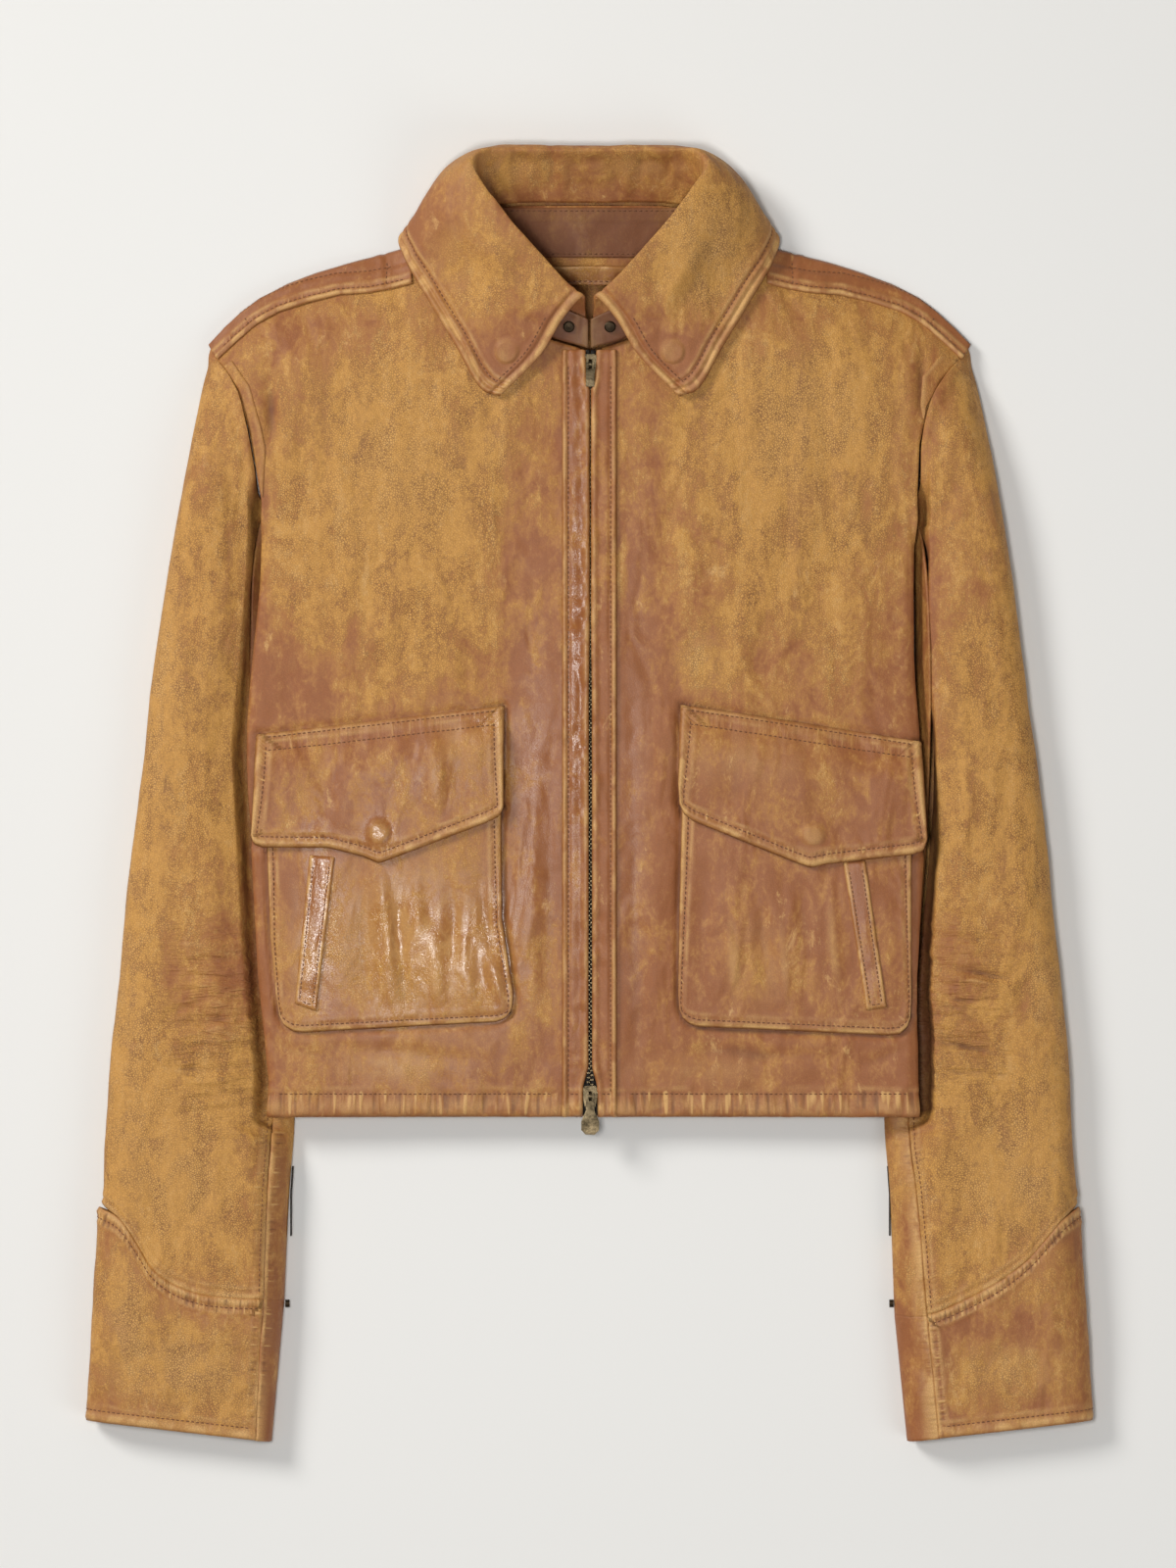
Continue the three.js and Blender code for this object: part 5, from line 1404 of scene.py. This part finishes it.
def make_neck():
    def inside(x, y, lift):
        return np.dstack([x, y, back_height(x, y) + LEATHER + SEAM_GAP + lift])

    u, v = np.meshgrid(np.linspace(-1, 1, 90), np.linspace(0, 1, 24), indexing="ij")
    x, y = u * lerp(61, 56, v), lerp(302, 329.4, v)
    facing = Cloth(inside(x, y, FACING_LEATHER), None, 1, FACING_LEATHER)
    up = facing.sides["v0"]
    facing.press(0.5 * ease((up - 18) / 3) - 0.4 * bump(up, 1.6, 1.2) + 0.2 * lattice_noise(x, y, 9, 81))
    facing.threads += [("v0", 1.6, 3.0, (2, 2)), ("v1", 1.6, 3.0, (2, 2))]
    stain(facing, 0.55 - 0.25 * ease((up - 19) / 2), [])
    facing.build("neck_facing", look_of("inside_leather"), "inside_leather")
    u, v = np.meshgrid(np.linspace(-1, 1, 60), np.linspace(285, 295, 10), indexing="ij")
    arch = 2.5 * (1 - u * u)
    loop = Cloth(inside(u * 33, v + 0.5 * arch, FACING_LEATHER + 0.4 + arch), None, 1, FACING_LEATHER)
    loop.press(0.25 * bump(loop.sides["v0"], 5, 3) - 0.4 * bump(loop.sides["v0"], 2, 0.9))
    loop.wear = bump(loop.sides["v1"], 1, 1.6)
    loop.threads.append(("v0", 2, 3.0, (2, 2)))
    stain(loop, 0.35, [])
    loop.build("hanger_loop", look_of("edge_leather"), "edge_leather", flat=False)


VENT_TAPE_SHOWN = 0.55
TAPE_WIDTH = 13
TAPE_MIDDLE_X = 9
BEAD_WIDTH = 2.6
TOOTH_PITCH = 2.6


def make_zip():
    for side in SIDES:
        near = ZIP_X * side.sign + 0.2
        y = np.linspace(HEM_Y + 1, NECK_FRONT_Y - 1, 140)
        section = outline([[0, -2.2], [0.3, -1.2], [BEAD_WIDTH - 0.3, -1.2], [BEAD_WIDTH, -2.6],
                           [TAPE_WIDTH, -2.6]])(np.linspace(0, 1, 24))
        base = front_height(TAPE_MIDDLE_X, y)
        rows = np.array([np.column_stack([np.full(len(y), near + x), y, base + z]) for x, z in section])
        tape = Cloth(rows, side, 1, TAPE_THICKNESS)
        tape.build(piece_name("zip_tape", side.name), look_of("zip_tape"), "zip_tape",
                   rests_on=[piece_name("placket", side.name)])
        vent_y = np.linspace(-249, -210, 24)
        shown = VENT_TAPE_SHOWN if side.sign < 0 else -VENT_TAPE_SHOWN
        up = np.linspace(3, 8, 6)
        rows = np.array([[[sleeve_inner_x(yy) - shown, yy, z] for z in up] for yy in vent_y])
        vent = Cloth(rows, side, 1, TAPE_THICKNESS)
        vent.build(piece_name("vent_tape", side.name), look_of("zip_tape"), "zip_tape", flat=False)
    points, faces = [], []
    teeth = np.arange(HEM_Y + 4, NECK_FRONT_Y - 4, TOOTH_PITCH)
    for sign in (-1, 1):
        for y in teeth + (TOOTH_PITCH / 2 if sign > 0 else 0):
            base = float(front_height(TAPE_MIDDLE_X, y)) - 1.3
            add_box(points, faces, (ZIP_X + sign * 0.95, y, base + 0.7), (2.6, 1.15, 1.3))
    teeth_mesh = bpy.data.meshes.new("zip_teeth")
    teeth_mesh.from_pydata((np.array(points) * MM).tolist(), [], faces)
    piece = bpy.data.objects.new("zip_teeth", teeth_mesh)
    bpy.context.scene.collection.objects.link(piece)
    dress(piece, look_of("antique_brass"), [])


def add_box(points, faces, centre, size):
    """A block with its upper edges drawn in, for a zip tooth."""
    first = len(points)
    for z, shrink in ((-0.5, 1), (0.15, 1), (0.5, 0.7)):
        for x, y in ((-0.5, -0.5), (0.5, -0.5), (0.5, 0.5), (-0.5, 0.5)):
            offset = np.array([x * shrink, y * shrink, z]) * size
            points.append(np.array(centre) + offset)
    faces.append((first + 3, first + 2, first + 1, first))
    faces.append((first + 8, first + 9, first + 10, first + 11))
    for ring in (0, 4):
        for k in range(4):
            n = (k + 1) % 4
            low, next_low = first + ring + k, first + ring + n
            faces.append((low, next_low, next_low + 4, low + 4))


ZIP_METAL = ["slider_top", "slider_bottom", "pull_top", "pull_bottom"]
# The stand studs take a darker brass that paints the collar's shade on them; the vent stops are dark.
DARK_METAL = ["stand_stud_left", "stand_stud_right", "vent_stop_left", "vent_stop_right"]


def make_brass():
    """The sliders, pulls, studs and stops keep their CAD form, with softened edges."""
    for name in ZIP_METAL + DARK_METAL:
        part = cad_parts[name]
        part.data.materials.clear()
        part.data.materials.append(look_of("dull_brass" if name in DARK_METAL else "antique_brass"))
        rounding = part.modifiers.new("softened edges", "BEVEL")
        rounding.width = 0.18 * MM
        rounding.segments = 2
        rounding.limit_method = "ANGLE"


# The stage

CAMERA_HEIGHT = 5.0
VIEW_HEIGHT = 0.880
SCALE_PLANE = 0.022
VIEW_CENTRE = (-0.0008, 0.0052)
SENSOR = 36.0
FLOOR_DROP = 0.0003

# Each light: its name, place, size across, the setting with its power, and its colour
LIGHTS = [
    ("window", (-2.9, 2.1, 2.6), 1.5, "key_power", (1.0, 0.985, 0.96)),
    ("lamp", (-0.21, -0.1, 2.4), 0.45, "lamp_power", (1.0, 0.99, 0.98)),
    ("bounce", (2.2, -1.8, 2.0), 2.0, "fill_power", (1.0, 1.0, 1.0)),
]


def make_stage():
    scene = bpy.context.scene
    stage = scene.jacket_stage
    mesh = bpy.data.meshes.new("floor")
    corners = ((-1, -1), (1, -1), (1, 1), (-1, 1))
    points = [(x * STAGE_REACH, y * STAGE_REACH, -FLOOR_DROP) for x, y in corners]
    mesh.from_pydata(points, [], [(0, 1, 2, 3)])
    floor = bpy.data.objects.new("floor", mesh)
    scene.collection.objects.link(floor)
    paper = Nodes("pale_floor")
    paper.shader.inputs["Base Color"].default_value = rgb(stage.floor_colour)
    paper.shader.inputs["Roughness"].default_value = 0.9
    mesh.materials.append(paper.material)
    camera = bpy.data.objects.new("camera", bpy.data.cameras.new("camera"))
    camera.location = (*VIEW_CENTRE, CAMERA_HEIGHT)
    camera.data.sensor_width = SENSOR
    camera.data.lens = SENSOR * (CAMERA_HEIGHT - SCALE_PLANE) / VIEW_HEIGHT
    scene.collection.objects.link(camera)
    scene.camera = camera
    for name, place, size, power, colour in LIGHTS:
        add_light(name, place, size, getattr(stage, power), colour)
    world = bpy.data.worlds.new("studio")
    world.use_nodes = True
    world.node_tree.nodes["Background"].inputs["Color"].default_value = (1.0, 0.995, 0.985, 1.0)
    world.node_tree.nodes["Background"].inputs["Strength"].default_value = stage.sky_strength
    scene.world = world
    scene.view_settings.view_transform = "Standard"
    scene.view_settings.look = "None"


def add_light(name, place, size, power, colour):
    light = bpy.data.objects.new(name, bpy.data.lights.new(name, "AREA"))
    light.data.shape = "DISK"
    light.data.size = size
    light.data.energy = power
    light.data.color = colour
    light.location = place
    light.rotation_euler = (-Vector(place)).to_track_quat("-Z", "Y").to_euler()
    bpy.context.scene.collection.objects.link(light)


# Add-on


def colour_property(name, description, default):
    return FloatVectorProperty(name=name, description=description, default=default, subtype="COLOR",
                               min=0, max=1)


class JacketColours(bpy.types.PropertyGroup):
    """Colours of the leather."""

    tan: colour_property("Tan", "Rubbed, golden leather", (0.57, 0.283, 0.060))
    brown: colour_property("Brown", "Red brown leather", (0.305, 0.102, 0.028))
    # Pale leather on rubbed ridges; it also paints sheen and light where the rubbed spots say.
    worn: colour_property("Worn", "Leather on rubbed ridges", (0.64, 0.365, 0.125))
    # Dark leather for the grain and flecks, and the colour of painted shade in grooves, creases and shaded
    # parts.
    dark_grain_and_shade: colour_property("Groove", "Leather in grooves and creases", (0.10, 0.032, 0.011))


class JacketSizes(bpy.types.PropertyGroup):
    """Sizes of what is pressed into the leather."""

    crease_depth: FloatProperty(name="Crease depth",
                                description="Depth of the creases, as a share of the drawn one",
                                default=1.0, min=0, max=2, subtype="FACTOR")


class JacketStage(bpy.types.PropertyGroup):
    """Light and floor."""

    key_power: FloatProperty(name="Window light", description="Power of the light from the upper left",
                             default=128.0, min=0, subtype="POWER")
    lamp_power: FloatProperty(name="Lamp", description="Power of the small light that makes the shine",
                              default=23.0, min=0, subtype="POWER")
    fill_power: FloatProperty(name="Bounce light", description="Power of the light from the lower right",
                              default=18.0, min=0, subtype="POWER")
    sky_strength: FloatProperty(name="Room light", description="Strength of the even light",
                                default=0.19, min=0)
    floor_colour: colour_property("Floor", "Colour of the pale floor", (0.80, 0.795, 0.775))


class JACKET_OT_body(bpy.types.Operator):
    """Makes the back, the two fronts and the folded side panels."""

    bl_idname = "jacket.body"
    bl_label = "Body"

    def execute(self, context):
        make_back()
        make_fronts()
        make_sides()
        return {"FINISHED"}


class JACKET_OT_sleeves(bpy.types.Operator):
    """Makes the sleeves and cuffs."""

    bl_idname = "jacket.sleeves"
    bl_label = "Sleeves and Cuffs"

    def execute(self, context):
        make_sleeves()
        make_cuffs()
        return {"FINISHED"}


class JACKET_OT_plackets(bpy.types.Operator):
    """Makes the strips beside the zip."""

    bl_idname = "jacket.plackets"
    bl_label = "Plackets"

    def execute(self, context):
        make_plackets()
        return {"FINISHED"}


class JACKET_OT_pockets(bpy.types.Operator):
    """Makes the pockets with their flaps and welts."""

    bl_idname = "jacket.pockets"
    bl_label = "Pockets"

    def execute(self, context):
        make_pockets()
        return {"FINISHED"}


class JACKET_OT_shoulders(bpy.types.Operator):
    """Makes the shoulder straps and the armhole bands."""

    bl_idname = "jacket.shoulders"
    bl_label = "Shoulders"

    def execute(self, context):
        make_shoulders()
        return {"FINISHED"}


class JACKET_OT_collar(bpy.types.Operator):
    """Makes the collar with its stands, and the neck's facing and hanger."""

    bl_idname = "jacket.collar"
    bl_label = "Collar and Neck"

    def execute(self, context):
        make_collar()
        make_neck()
        return {"FINISHED"}


class JACKET_OT_zip(bpy.types.Operator):
    """Makes the zip and finishes the brass parts."""

    bl_idname = "jacket.zip"
    bl_label = "Zip and Brass"

    def execute(self, context):
        make_zip()
        make_brass()
        return {"FINISHED"}


class JACKET_OT_stage(bpy.types.Operator):
    """Makes the floor, lights and camera."""

    bl_idname = "jacket.stage"
    bl_label = "Stage"

    def execute(self, context):
        make_stage()
        return {"FINISHED"}


OPERATORS = (JACKET_OT_body, JACKET_OT_sleeves, JACKET_OT_plackets, JACKET_OT_pockets, JACKET_OT_shoulders,
             JACKET_OT_collar, JACKET_OT_zip, JACKET_OT_stage)
GROUPS = {"jacket_colours": JacketColours, "jacket_sizes": JacketSizes, "jacket_stage": JacketStage}


class JACKET_PT_sidebar(bpy.types.Panel):
    """Lists the jacket's settings and steps."""

    bl_idname = "JACKET_PT_sidebar"
    bl_label = "Leather Jacket"
    bl_space_type = "VIEW_3D"
    bl_region_type = "UI"
    bl_category = "Jacket"

    def draw(self, context):
        for group in GROUPS:
            settings = getattr(context.scene, group)
            for name in settings.__annotations__:
                self.layout.prop(settings, name)
        for operator in OPERATORS:
            self.layout.operator(operator.bl_idname)


def register():
    for cls in (*GROUPS.values(), *OPERATORS, JACKET_PT_sidebar):
        bpy.utils.register_class(cls)
    for name, group in GROUPS.items():
        setattr(bpy.types.Scene, name, PointerProperty(type=group))


def unregister():
    for name in GROUPS:
        delattr(bpy.types.Scene, name)
    for cls in reversed((*GROUPS.values(), *OPERATORS, JACKET_PT_sidebar)):
        bpy.utils.unregister_class(cls)


def main():
    register()
    for operator in OPERATORS:
        group, step = operator.bl_idname.split(".")
        getattr(getattr(bpy.ops, group), step)()


if __name__ == "__main__":
    main()
